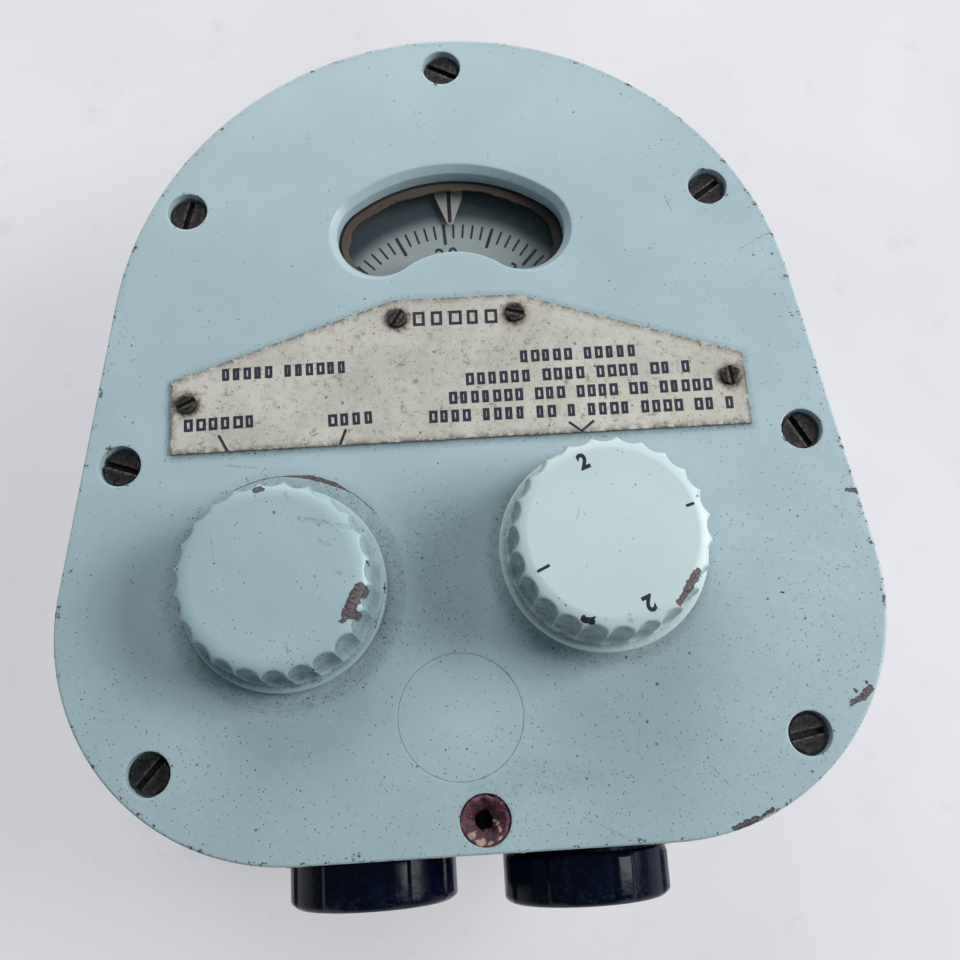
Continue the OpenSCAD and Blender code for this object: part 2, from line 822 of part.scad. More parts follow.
module input_grub_screw() {
    color("#3a342c") grub_screw(input_axis, input_z, input_grub_turn);
}

module synchro_body() {
    color("#8c9094") difference() {
        union() {
            post(synchro_axis, synchro_r, synchro_z, plate_z - synchro_z);
            post(synchro_axis, synchro_boss_r, plate_z - 1, plate_t + 1);
            ring_of(synchro_axis, synchro_terminal_count, synchro_terminal_ring_r)
                translate([0, 0, synchro_z - synchro_terminal_h])
                    cylinder(r = synchro_terminal_r, h = synchro_terminal_h + 1, $fn = 24);
        }
        washer(synchro_axis, synchro_r + 1, synchro_groove_r, synchro_groove_z, synchro_groove_h);
        post(synchro_axis, synchro_shaft_r + run_gap, synchro_shaft_z - part_gap, unit_depth);
    }
}

module synchro_clamps() {
    color("#b09050") ring_of(synchro_axis, clamp_count, clamp_ring_r, clamp_first_turn)
        difference() {
            translate([0, 0, synchro_groove_z]) cylinder(r = clamp_r,
                h = plate_z - synchro_groove_z);
            translate([-clamp_ring_r, 0, synchro_groove_z + synchro_groove_h - 0.05])
                cylinder(r = synchro_r + 0.05, h = plate_z);
            translate([0, 0, synchro_groove_z - 1]) cylinder(r = clamp_screw_r + 0.1, h = unit_depth);
        }
}

module synchro_clamp_screws() {
    color("#b09050") ring_of(synchro_axis, clamp_count, clamp_ring_r, clamp_first_turn)
        rising_screw([0, 0], clamp_screw_z, clamp_head_r, clamp_head_h, clamp_screw_r,
            plate_top - clamp_screw_z, 15);
}

module synchro_shaft() {
    color("#c8ccd0") post(synchro_axis, synchro_shaft_r, synchro_shaft_z,
        synchro_shaft_top - synchro_shaft_z);
}

module synchro_pinion() {
    color("#c0a050") difference() {
        union() {
            gear(synchro_axis, synchro_teeth, synchro_turn + 180 + 180 / synchro_teeth,
                gear_z - 0.5, pinion_t);
            post(synchro_axis, 5, plate_top + 1, gear_z + 5 - plate_top);
        }
        post(synchro_axis, synchro_shaft_r + fit_gap, plate_top, unit_depth);
    }
}

module switch_housing() {
    color("#a8a49a") difference() {
        threaded_bush(switch_axis, switch_housing_r, switch_housing_z, switch_housing_z);
        for (s = [-1, 1]) post(switch_axis + [s * tie_ring_r, 0], tie_r + fit_gap,
            switch_housing_z - 1, 6);
    }
}

module switch_bush_nut() {
    color("#c0b070") bush_nut(switch_axis);
}

module switch_wafers() {
    color("#a87838") for (z = wafer_levels) difference() {
        washer(switch_axis, wafer_r, wafer_bore_r, z, wafer_t);
        for (s = [-1, 1]) post(switch_axis + [s * tie_ring_r, 0], tie_r + 0.1, z - 1,
            wafer_t + 2);
    }
}

module switch_contacts() {
    color("#d8c890") for (z = wafer_levels)
        ring_of(switch_axis, contact_count, contact_in_r, 180 / contact_count)
            translate([0, -contact_w / 2, z - contact_t])
                cube([contact_out_r - contact_in_r, contact_w, contact_t]);
}

module switch_spacers() {
    color("#c8ccd0") for (s = [-1, 1]) {
        spot = switch_axis + [s * tie_ring_r, 0];
        washer(spot, spacer_r, spacer_bore_r, wafer_levels[0] + wafer_t,
            switch_housing_z - wafer_levels[0] - wafer_t);
        washer(spot, spacer_r, spacer_bore_r, wafer_levels[1] + wafer_t,
            wafer_levels[0] - wafer_levels[1] - wafer_t);
    }
}

module switch_tie_screws() {
    color("#b09050") for (s = [-1, 1])
        rising_screw(switch_axis + [s * tie_ring_r, 0], wafer_levels[1], tie_head_r,
            tie_head_h, tie_r, switch_housing_z + 4 - wafer_levels[1], 50);
}

module switch_knob() {
    color("#8fa6aa") knob(switch_axis, switch_z, switch_grub_turn);
}

module switch_shaft() {
    color("#c8ccd0") post(switch_axis, shaft_r, switch_shaft_z,
        switch_z + shaft_top_in_knob - switch_shaft_z);
}

module switch_rotors() {
    color("#a87838") for (z = wafer_levels)
        washer(switch_axis, rotor_r, shaft_r + fit_gap, z, wafer_t);
}

module switch_grub_screw() {
    color("#3a342c") grub_screw(switch_axis, switch_z, switch_grub_turn);
}

// A square flange with cut corners, its outer side towards +Z
module flange_plate(t, bore_r) {
    cut = flange_half / 5;
    difference() {
        linear_extrude(t) polygon([for (q = [0:3]) each
            [[flange_half - cut, flange_half], [flange_half, flange_half - cut]]
            * [[cos(90 * q), -sin(90 * q)], [sin(90 * q), cos(90 * q)]]]);
        translate([0, 0, -1]) cylinder(r = bore_r, h = t + 2);
        for (c = flange_corners) translate([c.x, c.y, -1])
            cylinder(r = flange_screw_r + 0.1, h = t + 2, $fn = 24);
    }
}

module connector_gaskets() {
    color("#3a3a3a") for (x = connector_xs) at_connector(x, wall_y)
        flange_plate(connector_gasket_t, shell_rear_r + 0.2);
}

module connector_shells() {
    color("#2c2d30") for (x = connector_xs) at_connector(x, flange_y) difference() {
        union() {
            flange_plate(flange_t, shell_rear_r - 1);
            translate([0, 0, flange_t / 2]) cylinder(r = shell_r - 0.6,
                h = flange_y - shell_end_y - flange_t / 2);
            translate([0, 0, flange_t + thread_relief_w]) cylinder(r = shell_r,
                h = flange_y - shell_end_y - flange_t - thread_relief_w - 0.6);
            translate([0, 0, flange_y - shell_rear_y]) cylinder(r = shell_rear_r,
                h = shell_rear_y - flange_y + flange_t / 2);
        }
        translate([0, 0, flange_y - shell_rear_y - 1]) cylinder(r = shell_bore_r, h = unit_depth);
    }
}

module connector_inserts() {
    color("#26262a") for (x = connector_xs) at_connector(x, insert_rear_y) difference() {
        cylinder(r = insert_r, h = insert_rear_y - insert_front_y);
        for (ring = pin_rings)
            ring_of([0, 0], ring[0], ring[1])
                translate([0, 0, insert_rear_y - insert_front_y - pin_hole_depth])
                    cylinder(r = pin_hole_r, h = pin_hole_depth + 1, $fn = 16);
    }
}

module connector_screws() {
    color("#b09050") for (x = connector_xs) at_connector(x, flange_y - flange_t)
        for (c = flange_corners)
            slotted_screw(c, 0, flange_head_r, flange_head_h, flange_screw_r,
                flange_screw_len, 0.6, 0.6, 35);
}

// A ribbed dust cap, its closed end towards +Z
module dust_cap(x, slack) {
    color("#16161a") at_connector(x, cap_top_y - slack) difference() {
        union() {
            rotate_extrude() polygon([[0, 0], [cap_body_r, 0], [cap_body_r, cap_len - cap_rim_bevel],
                [cap_body_r - cap_rim_bevel, cap_len], [0, cap_len]]);
            intersection() {
                rotate_extrude() polygon([[0, 0.5], [cap_r, 0.5],
                    [cap_r, cap_len - 2 * cap_rim_bevel], [cap_body_r - 0.4, cap_len - 0.6],
                    [0, cap_len - 0.6]]);
                union() for (i = [0:cap_rib_count - 1])
                    rotate(cap_rib_turn + 360 * i / cap_rib_count)
                        translate([cap_bore_r + 0.5, -cap_rib_w / 2, 0])
                            cube([cap_r, cap_rib_w, cap_len]);
            }
        }
        translate([0, 0, -1]) cylinder(r = cap_bore_r, h = cap_len - cap_end_t + 1);
    }
}

module cap_seal(x, slack) {
    color("#101012") at_connector(x, cap_top_y - slack)
        translate([0, 0, cap_len - cap_end_t - cap_seal_t]) difference() {
            cylinder(r = cap_bore_r - 0.1, h = cap_seal_t);
            translate([0, 0, -1]) cylinder(r = cap_seal_in_r, h = cap_seal_t + 2);
        }
}

module dust_cap_left() {
    dust_cap(connector_xs[0], 0);
}

module dust_cap_right() {
    dust_cap(connector_xs[1], cap_slack);
}

module cap_seal_left() {
    cap_seal(connector_xs[0], 0);
}

module cap_seal_right() {
    cap_seal(connector_xs[1], cap_slack);
}

module terminal_block() {
    pitch = block_size.x / block_ways;
    color("#5a3c28") translate([block_spot.x, block_spot.y, case_floor]) {
        difference() {
            union() {
                translate([-block_size.x / 2, -block_size.y / 2, 0]) cube(block_size);
                for (i = [0:block_ways])
                    translate([-block_size.x / 2 + i * pitch - (i > 0 ? block_barrier_t / 2 : 0),
                        -block_size.y / 2, block_size.z - 1])
                        cube([block_barrier_t / (i % block_ways == 0 ? 2 : 1), block_size.y,
                            block_barrier_h + 1]);
            }
            for (i = [0:block_ways - 1])
                translate([(i + 0.5) * pitch - block_size.x / 2, 0, block_size.z - 5])
                    cylinder(r = block_screw_r, h = 6, $fn = 24);
        }
    }
}

module wiring_looms() {
    color("#6a5a30") {
        cable(loom_left, loom_r);
        cable(loom_right, loom_r);
    }
}

case();
panel_gasket();
front_panel();
panel_screws();
sealed_screw();
seal_compound();
blanking_disc();
legend_plate();
legend_screws();
window_gasket();
window_glass();
window_retainer();
retainer_screws();
index_pointer();
index_rivets();
mechanism_plate();
plate_pillars();
pillar_screws();
dial_bearing();
dial_card();
dial_carrier();
dial_screws();
dial_gear();
dial_spindle();
spindle_clip();
input_bush();
input_bush_nut();
detent_ring();
input_bearing();
setting_pinion();
pinion_clip();
input_knob();
input_shaft();
shaft_clip();
input_grub_screw();
synchro_body();
synchro_clamps();
synchro_clamp_screws();
synchro_shaft();
synchro_pinion();
switch_housing();
switch_bush_nut();
switch_wafers();
switch_contacts();
switch_spacers();
switch_tie_screws();
switch_knob();
switch_shaft();
switch_rotors();
switch_grub_screw();
connector_gaskets();
connector_shells();
connector_inserts();
connector_screws();
dust_cap_left();
dust_cap_right();
cap_seal_left();
cap_seal_right();
terminal_block();
wiring_looms();
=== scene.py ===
"""Visual model of a flight computer's speed input unit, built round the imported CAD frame.

Lengths are in millimetres until a mesh is made. Every mesh has its origin at the frame's origin,
so that object coordinates in the materials are places on the unit at rest.
"""

import json
from math import acos, asin, atan2, cos, degrees, hypot, pi, radians, sin, sqrt
from random import Random

import bmesh
import bpy
import numpy as np
from mathutils import Matrix, Vector, noise
from mathutils.geometry import delaunay_2d_cdt


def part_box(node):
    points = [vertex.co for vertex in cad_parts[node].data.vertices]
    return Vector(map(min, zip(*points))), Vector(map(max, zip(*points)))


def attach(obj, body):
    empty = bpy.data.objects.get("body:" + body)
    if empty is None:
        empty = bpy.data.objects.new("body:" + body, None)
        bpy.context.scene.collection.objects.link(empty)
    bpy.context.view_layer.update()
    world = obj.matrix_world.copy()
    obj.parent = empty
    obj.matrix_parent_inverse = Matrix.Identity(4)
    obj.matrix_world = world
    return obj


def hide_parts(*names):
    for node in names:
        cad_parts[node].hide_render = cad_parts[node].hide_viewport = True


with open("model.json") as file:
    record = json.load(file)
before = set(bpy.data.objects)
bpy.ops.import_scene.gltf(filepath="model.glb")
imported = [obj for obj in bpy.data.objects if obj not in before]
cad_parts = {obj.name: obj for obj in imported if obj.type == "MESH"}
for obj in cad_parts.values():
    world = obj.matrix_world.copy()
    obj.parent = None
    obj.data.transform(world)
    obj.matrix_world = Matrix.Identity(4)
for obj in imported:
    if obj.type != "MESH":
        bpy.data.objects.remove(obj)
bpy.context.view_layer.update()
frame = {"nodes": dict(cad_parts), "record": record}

MM = 0.001


def box(node):
    """Lowest and highest corner of a CAD node in millimetres."""
    low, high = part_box(node)
    return low / MM, high / MM


def middle(node):
    low, high = box(node)
    return (low + high) / 2


def islands(node):
    """(centre, highest corner) of each separate solid of a CAD node, in millimetres.

    They are in order of their turn about the unit's middle.
    """
    mesh = bmesh.new()
    mesh.from_mesh(frame["nodes"][node].data)
    bmesh.ops.remove_doubles(mesh, verts=mesh.verts, dist=1e-6)
    left, found = set(mesh.verts), []
    while left:
        group, edge_of_group = set(), [left.pop()]
        while edge_of_group:
            vert = edge_of_group.pop()
            group.add(vert)
            near = {e.other_vert(vert) for e in vert.link_edges} & left
            left -= near
            edge_of_group += near
        points = np.array([v.co for v in group]) / MM
        found.append((Vector((points.min(0) + points.max(0)) / 2), Vector(points.max(0))))
    mesh.free()
    return sorted(found, key=lambda part: atan2(part[0].y, part[0].x))


# ---- sizes

PANEL_LOW, PANEL_HIGH = box("front_panel")
FACE = PANEL_HIGH.z
BACK = PANEL_LOW.z
CORNER_R = 50.45
CORNER_X = PANEL_HIGH.x - CORNER_R
CORNER_Y = PANEL_LOW.y + CORNER_R
TOP_R = PANEL_HIGH.y

WIN_ARC = (5.0, 37.7)
WIN_LOBE = (16.75, 26.85, 10.2)
WIN_BUMP = (2.3, 19.6)
WIN_BEVEL = 1.6
INK_RISE = 0.03

LEGEND_LOW, LEGEND_HIGH = box("legend_plate")
LEGEND_TOP = LEGEND_HIGH.z
EAVE_Y = -8.0
RIDGE_HALF = 14.4

SWITCH_AXIS = middle("switch_shaft").xy
INPUT_AXIS = middle("input_shaft").xy
DIAL_AXIS = middle("dial_card").xy
DISC_AXIS = middle("blanking_disc").xy
SEAL_AXIS = middle("seal_compound").xy
WELL_R = 4.6
SEAL_WELL_R = 5.25
DISC_WELL_R = 13.08
DISC_R = 13.05
DISC_T = 3
DIAL_STEPS = 80
DIAL_FIRST = 93.1
WELL_DEPTH = 3.8
FLUTES = 24


# ---- meshes

class Shape:
    """Points and faces in millimetres. The wear and grime marks run from 0 to 1: wear leads the paint's
    chips, grime its soiling, and on the knobs and the cork gasket also painted shade.
    """

    def __init__(self):
        self.points, self.faces, self.wear, self.grime_and_shade = [], [], [], []

    def ring(self, points, wear=0.0, grime_and_shade=0.0):
        first = len(self.points)
        self.points += [Vector(p) for p in points]
        for marks, value in ((self.wear, wear), (self.grime_and_shade, grime_and_shade)):
            marks += list(value) if isinstance(value, (list, tuple)) else [value] * len(points)
        return list(range(first, first + len(points)))

    def bridge(self, a, b):
        n = len(a)
        self.faces += [(a[i], a[(i + 1) % n], b[(i + 1) % n], b[i]) for i in range(n)]

    def sweep(self, rings):
        """Joins rings of (points, wear) one after another, and returns the first and the last."""
        made = [self.ring(*r) for r in rings]
        for a, b in zip(made, made[1:]):
            self.bridge(a, b)
        return made[0], made[-1]

    def cap(self, ring):
        self.faces.append(tuple(ring))

    def solid(self, rings):
        """A sweep with a cap on each end."""
        for ring in self.sweep(rings):
            self.cap(ring)

    def loop(self, rings):
        """A sweep whose last ring joins its first."""
        first, last = self.sweep(rings)
        self.bridge(last, first)

    def fill(self, outer, holes=(), guides=()):
        """Triangulates the level face between the outer ring and the holes, with the guides' points in it."""
        loops = [[self.points[i] for i in loop] for loop in (outer, *holes)]
        loose = [i for guide in guides for i in guide]
        keep = np.zeros(0, bool)
        if loose:
            spots = np.array([self.points[i].xy for i in loose])
            keep = within(spots, loops[0]) & (gap(spots, loops) > 0.2)
            for loop in loops[1:]:
                keep &= ~within(spots, loop)
        index = [i for loop in (outer, *holes) for i in loop] + [i for i, k in zip(loose, keep) if k]
        edges, at = [], 0
        for loop in loops:
            edges += [(at + i, at + (i + 1) % len(loop)) for i in range(len(loop))]
            at += len(loop)
        _, _, faces, origins, _, _ = delaunay_2d_cdt([self.points[i].xy for i in index], edges, [], 0, 1e-5)
        faces = [tuple(index[origins[i][0]] for i in f) for f in faces]
        centres = np.array([np.mean([self.points[i].xy for i in f], 0) for f in faces])
        inside = within(centres, loops[0])
        for loop in loops[1:]:
            inside &= ~within(centres, loop)
        self.faces += [f for f, k in zip(faces, inside) if k]


def gap(spots, loops):
    """Distance from each spot to the nearest side of the loops."""
    starts = np.array([p[:2] for loop in loops for p in loop])
    sides = np.array([p[:2] for loop in loops for p in loop[1:] + loop[:1]]) - starts
    off = spots[:, None] - starts
    share = np.clip((off * sides).sum(2) / np.maximum((sides ** 2).sum(1), 1e-9), 0, 1)
    return np.linalg.norm(off - share[..., None] * sides, axis=2).min(1)


def within(spots, outline):
    """Which of the spots lie inside the outline."""
    inside = np.zeros(len(spots), bool)
    x, y = spots[:, 0], spots[:, 1]
    for a, b in zip(outline, outline[1:] + outline[:1]):
        if a.y != b.y:
            crosses = (a.y > y) != (b.y > y)
            inside ^= crosses & (x < a.x + (b.x - a.x) * (y - a.y) / (b.y - a.y))
    return inside


def build(name, shape):
    """The mesh of a shape, with its marks and clean normals."""
    mesh = bpy.data.meshes.new(name)
    mesh.from_pydata([p * MM for p in shape.points], [], shape.faces)
    for mark in ("wear", "grime_and_shade"):
        mesh.attributes.new(mark, "FLOAT", "POINT").data.foreach_set("value", getattr(shape, mark))
    work = bmesh.new()
    work.from_mesh(mesh)
    bmesh.ops.delete(work, geom=[v for v in work.verts if not v.link_faces])
    bmesh.ops.remove_doubles(work, verts=work.verts, dist=1e-7)
    bmesh.ops.recalc_face_normals(work, faces=work.faces)
    work.to_mesh(mesh)
    work.free()
    return mesh


def show(name, mesh, body, slot, node=None, material=None, sharp=40):
    """Puts a mesh on a body, with the CAD node it stands for. A printed mark stands for none.

    material is needed only where it isn't the slot's own.
    """
    for face in mesh.polygons:
        face.use_smooth = True
    mesh.set_sharp_from_angle(angle=radians(sharp))
    mesh.materials.clear()
    mesh.materials.append(MATERIALS[material or slot])
    made = bpy.data.objects.new(name, mesh)
    bpy.context.scene.collection.objects.link(made)
    if node:
        made.modifiers.new("normals", "WEIGHTED_NORMAL").keep_sharp = True
    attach(made, body)
    if node:
        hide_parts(node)
    return made


def piece(name, shape, *where, **look):
    return show(name, build(name, shape), *where, **look)


def cut(made, cutter):
    """Takes a cutter shape away from a piece, for good."""
    tool = bpy.data.objects.new("cutter", build("cutter", cutter))
    bpy.context.scene.collection.objects.link(tool)
    change = made.modifiers.new("cut", "BOOLEAN")
    change.object = tool
    change.solver = "EXACT"
    made.modifiers.move(len(made.modifiers) - 1, 0)
    made.modifiers["normals"].show_viewport = False
    bpy.context.view_layer.update()
    mesh = bpy.data.meshes.new_from_object(made.evaluated_get(bpy.context.evaluated_depsgraph_get()))
    made.modifiers["normals"].show_viewport = True
    made.modifiers.remove(change)
    made.data = mesh
    bpy.data.objects.remove(tool)


# ---- outlines

def arc(x, y, r, start, end, steps):
    """Points of an arc, both ends counted, with angles in degrees."""
    turns = [radians(start + (end - start) * i / steps) for i in range(steps + 1)]
    return [Vector((x + r * cos(t), y + r * sin(t))) for t in turns]


def heading(turn):
    """Unit vector in plan, at an angle in degrees."""
    return Vector((cos(radians(turn)), sin(radians(turn))))


def circle(spot, r, steps=48):
    return arc(spot[0], spot[1], r, 0, 360 - 360 / steps, steps - 1)


def lift(outline, z):
    return [(p.x, p.y, z) for p in outline]


SIDE_TURN = degrees(atan2(CORNER_Y, CORNER_X)
                         + acos((TOP_R - CORNER_R) / hypot(CORNER_X, CORNER_Y)))


def panel_outline(inset):
    return (arc(0, 0, TOP_R - inset, SIDE_TURN, 180 - SIDE_TURN, 96)
            + arc(-CORNER_X, CORNER_Y, CORNER_R - inset, 180 - SIDE_TURN, 270, 40)
            + arc(CORNER_X, CORNER_Y, CORNER_R - inset, -90, SIDE_TURN, 40))


def window_outline(grow):
    x, y, r = WIN_LOBE
    lobe = degrees(atan2(y - WIN_ARC[0], x))
    bump = degrees(atan2(y - WIN_BUMP[0], x))
    return (arc(0, WIN_ARC[0], WIN_ARC[1] + grow, lobe, 180 - lobe, 56)
            + arc(-x, y, r + grow, 182 - lobe, 358 - bump, 26)
            + arc(0, WIN_BUMP[0], WIN_BUMP[1] - grow, 180 - bump, bump, 28)
            + arc(x, y, r + grow, bump - 178, lobe - 2, 26))


def legend_outline(grow):
    low, high = LEGEND_LOW, LEGEND_HIGH
    corner = [(low.x, low.y), (high.x, low.y), (high.x, EAVE_Y), (RIDGE_HALF, high.y),
              (-RIDGE_HALF, high.y), (low.x, EAVE_Y)]
    corner = [Vector(c) for c in corner]
    moved = []
    for before, here, after in zip(corner[-1:] + corner, corner, corner[1:] + corner[:1]):
        a, b = (here - before).normalized(), (after - here).normalized()
        out = (Vector((a.y, -a.x)) + Vector((b.y, -b.x))).normalized()
        moved.append(here + out * grow / out.dot(Vector((a.y, -a.x))))
    return moved


def stepped_legend(grow, longest=2.0):
    """The legend plate's outline with its sides divided, always into the same number of parts."""
    still, made = legend_outline(0), []
    for i, here in enumerate(legend_outline(grow)):
        after = legend_outline(grow)[(i + 1) % len(still)]
        parts = max(1, round((still[(i + 1) % len(still)] - still[i]).length / longest))
        made += [here.lerp(after, k / parts) for k in range(parts)]
    return made


def edge(outline, top, bottom, r_top, r_bottom, wear=1.0, steps=4):
    """Rings down a wall whose two edges are rounded. outline(d) is the wall's outline cut back by d."""
    rings = []
    for i in range(steps + 1):
        t = pi / 2 * i / steps
        rings.append((lift(outline(r_top * (1 - sin(t))), top - r_top * (1 - cos(t))), wear))
    rings.append((lift(outline(0), top - r_top - 0.6), 0.0))
    rings.append((lift(outline(0), bottom + r_bottom + 0.6), 0.0))
    for i in range(steps + 1):
        t = pi / 2 * i / steps
        off = r_bottom * (1 - cos(t))
        rings.append((lift(outline(off), bottom + r_bottom * (1 - sin(t))), wear))
    return rings


# ---- materials

def srgb(r, g, b):
    """Linear colour of an 8-bit display colour."""
    def linear(c):
        c /= 255
        return c / 12.92 if c <= 0.04045 else ((c + 0.055) / 1.055) ** 2.4
    return (linear(r), linear(g), linear(b), 1.0)


MATERIALS = {}


class Graph:
    """One material's nodes. Places and lengths are in millimetres on the unit at rest."""

    def __init__(self, name):
        made = MATERIALS[name] = bpy.data.materials.new(name)
        made.use_nodes = True
        self.tree = made.node_tree
        self.shader = self.tree.nodes["Principled BSDF"]
        self.tint = None
        coordinates = self.add("ShaderNodeTexCoord").outputs["Object"]
        self.spot = self.vector("MULTIPLY", coordinates, (1 / MM,) * 3)
        self.plan = self.vector("MULTIPLY", self.spot, (1, 1, 0))

    def add(self, kind, inputs=None, **settings):
        """A new node with its settings and the values or links of its inputs."""
        made = self.tree.nodes.new(kind)
        for key, value in settings.items():
            setattr(made, key, value)
        for key, value in (inputs or {}).items():
            self.put(made.inputs[key], value)
        return made

    def put(self, socket, value):
        if isinstance(value, bpy.types.NodeSocket):
            self.tree.links.new(value, socket)
        else:
            socket.default_value = value

    def set(self, **values):
        """Sets the shader's own sockets, with _ for a space."""
        for key, value in values.items():
            self.put(self.shader.inputs[key.replace("_", " ")], value)

    def math(self, operation, a, b=0.0, clamp=False):
        return self.add("ShaderNodeMath", {0: a, 1: b}, operation=operation, use_clamp=clamp).outputs[0]

    def times(self, a, b):
        return self.math("MULTIPLY", a, b)

    def plus(self, a, b):
        return self.math("ADD", a, b)

    def minus(self, a, b):
        return self.math("SUBTRACT", a, b)

    def most(self, mask, *others):
        for other in others:
            mask = self.math("MAXIMUM", mask, other)
        return mask

    def vector(self, operation, a, b=(0, 0, 0)):
        second = "Scale" if operation == "SCALE" else 1
        made = self.add("ShaderNodeVectorMath", {0: a, second: b}, operation=operation)
        return made.outputs["Value" if operation in ("DISTANCE", "DOT_PRODUCT", "LENGTH") else 0]

    def fade(self, value, low, high):
        """0 at low and 1 at high, smooth between."""
        return self.add("ShaderNodeMapRange", {"Value": value, "From Min": low, "From Max": high},
                        interpolation_type="SMOOTHSTEP").outputs["Result"]

    def mix(self, share, a, b):
        return self.add("ShaderNodeMix", {0: share, 6: a, 7: b}, data_type="RGBA").outputs[2]

    def coat(self, mask, colour, share=1):
        """Lays a colour over the tint so far, by a share of the mask."""
        self.tint = self.mix(mask if share == 1 else self.times(mask, share), self.tint, colour)

    def noise(self, scale, detail=3.0, rough=0.55, place=None):
        return self.add("ShaderNodeTexNoise", {"Vector": place or self.spot, "Scale": scale, "Detail": detail,
                                               "Roughness": rough}).outputs["Fac"]

    def patches(self, low, high, *grain):
        """Patches of noise, faded from low to high."""
        return self.fade(self.noise(*grain), low, high)

    def push(self, scale, **inputs):
        """A push in a direction that wanders with noise, within half a unit each way."""
        made = self.add("ShaderNodeTexNoise", {"Vector": self.spot, "Scale": scale, **inputs})
        return self.vector("SUBTRACT", made.outputs["Color"], (0.5, 0.5, 0.5))

    def wobble(self, scale, size):
        """The place in plan, pushed about by noise of the given size."""
        push = self.vector("MULTIPLY", self.push(scale, Detail=3.0), (2 * size, 2 * size, 0))
        return self.vector("ADD", self.plan, push)

    def specks(self, pitch, size, share, more=0.0):
        """Ragged specks on cells of the given pitch: share of the cells hold one, plus more."""
        push = self.vector("SCALE", self.push(1.1 / size), 1.6 * size)
        made = self.add("ShaderNodeTexVoronoi",
                        {"Vector": self.vector("ADD", self.spot, push), "Scale": 1 / pitch})
        dice = self.add("ShaderNodeSeparateColor", {0: made.outputs["Color"]})
        chosen = self.math("LESS_THAN", dice.outputs[0], self.plus(more, share))
        reach = self.times(dice.outputs[1], size / pitch)
        return self.times(chosen, self.fade(made.outputs["Distance"], reach, self.times(reach, 0.6)))

    def marks(self, place, shapes, blend=0.5):
        """Signed distance to patches that run together: (x, y, radius), or (x, y, x, y, radius) for a bar."""
        least = None
        for *spots, r in shapes:
            off = self.vector("SUBTRACT", place, (*spots[:2], 0))
            if len(spots) == 4:
                along = Vector((spots[2] - spots[0], spots[3] - spots[1], 0))
                share = self.math("DIVIDE", self.vector("DOT_PRODUCT", off, along), along.length_squared,
                                  True)
                off = self.vector("SUBTRACT", off, self.vector("SCALE", along, share))
            away = self.minus(self.vector("LENGTH", off), r)
            if least is not None:
                away = self.math("SMOOTH_MIN", least, away)
                away.node.inputs[2].default_value = blend
            least = away
        return least

    def attribute(self, name):
        return self.add("ShaderNodeAttribute", attribute_name=name).outputs["Fac"]

    def bump(self, height, distance, strength=1.0):
        """Raises the surface by height times distance in millimetres."""
        made = self.add("ShaderNodeBump", {"Strength": strength, "Distance": distance * MM, "Height": height})
        self.put(self.shader.inputs["Normal"], made.outputs["Normal"])


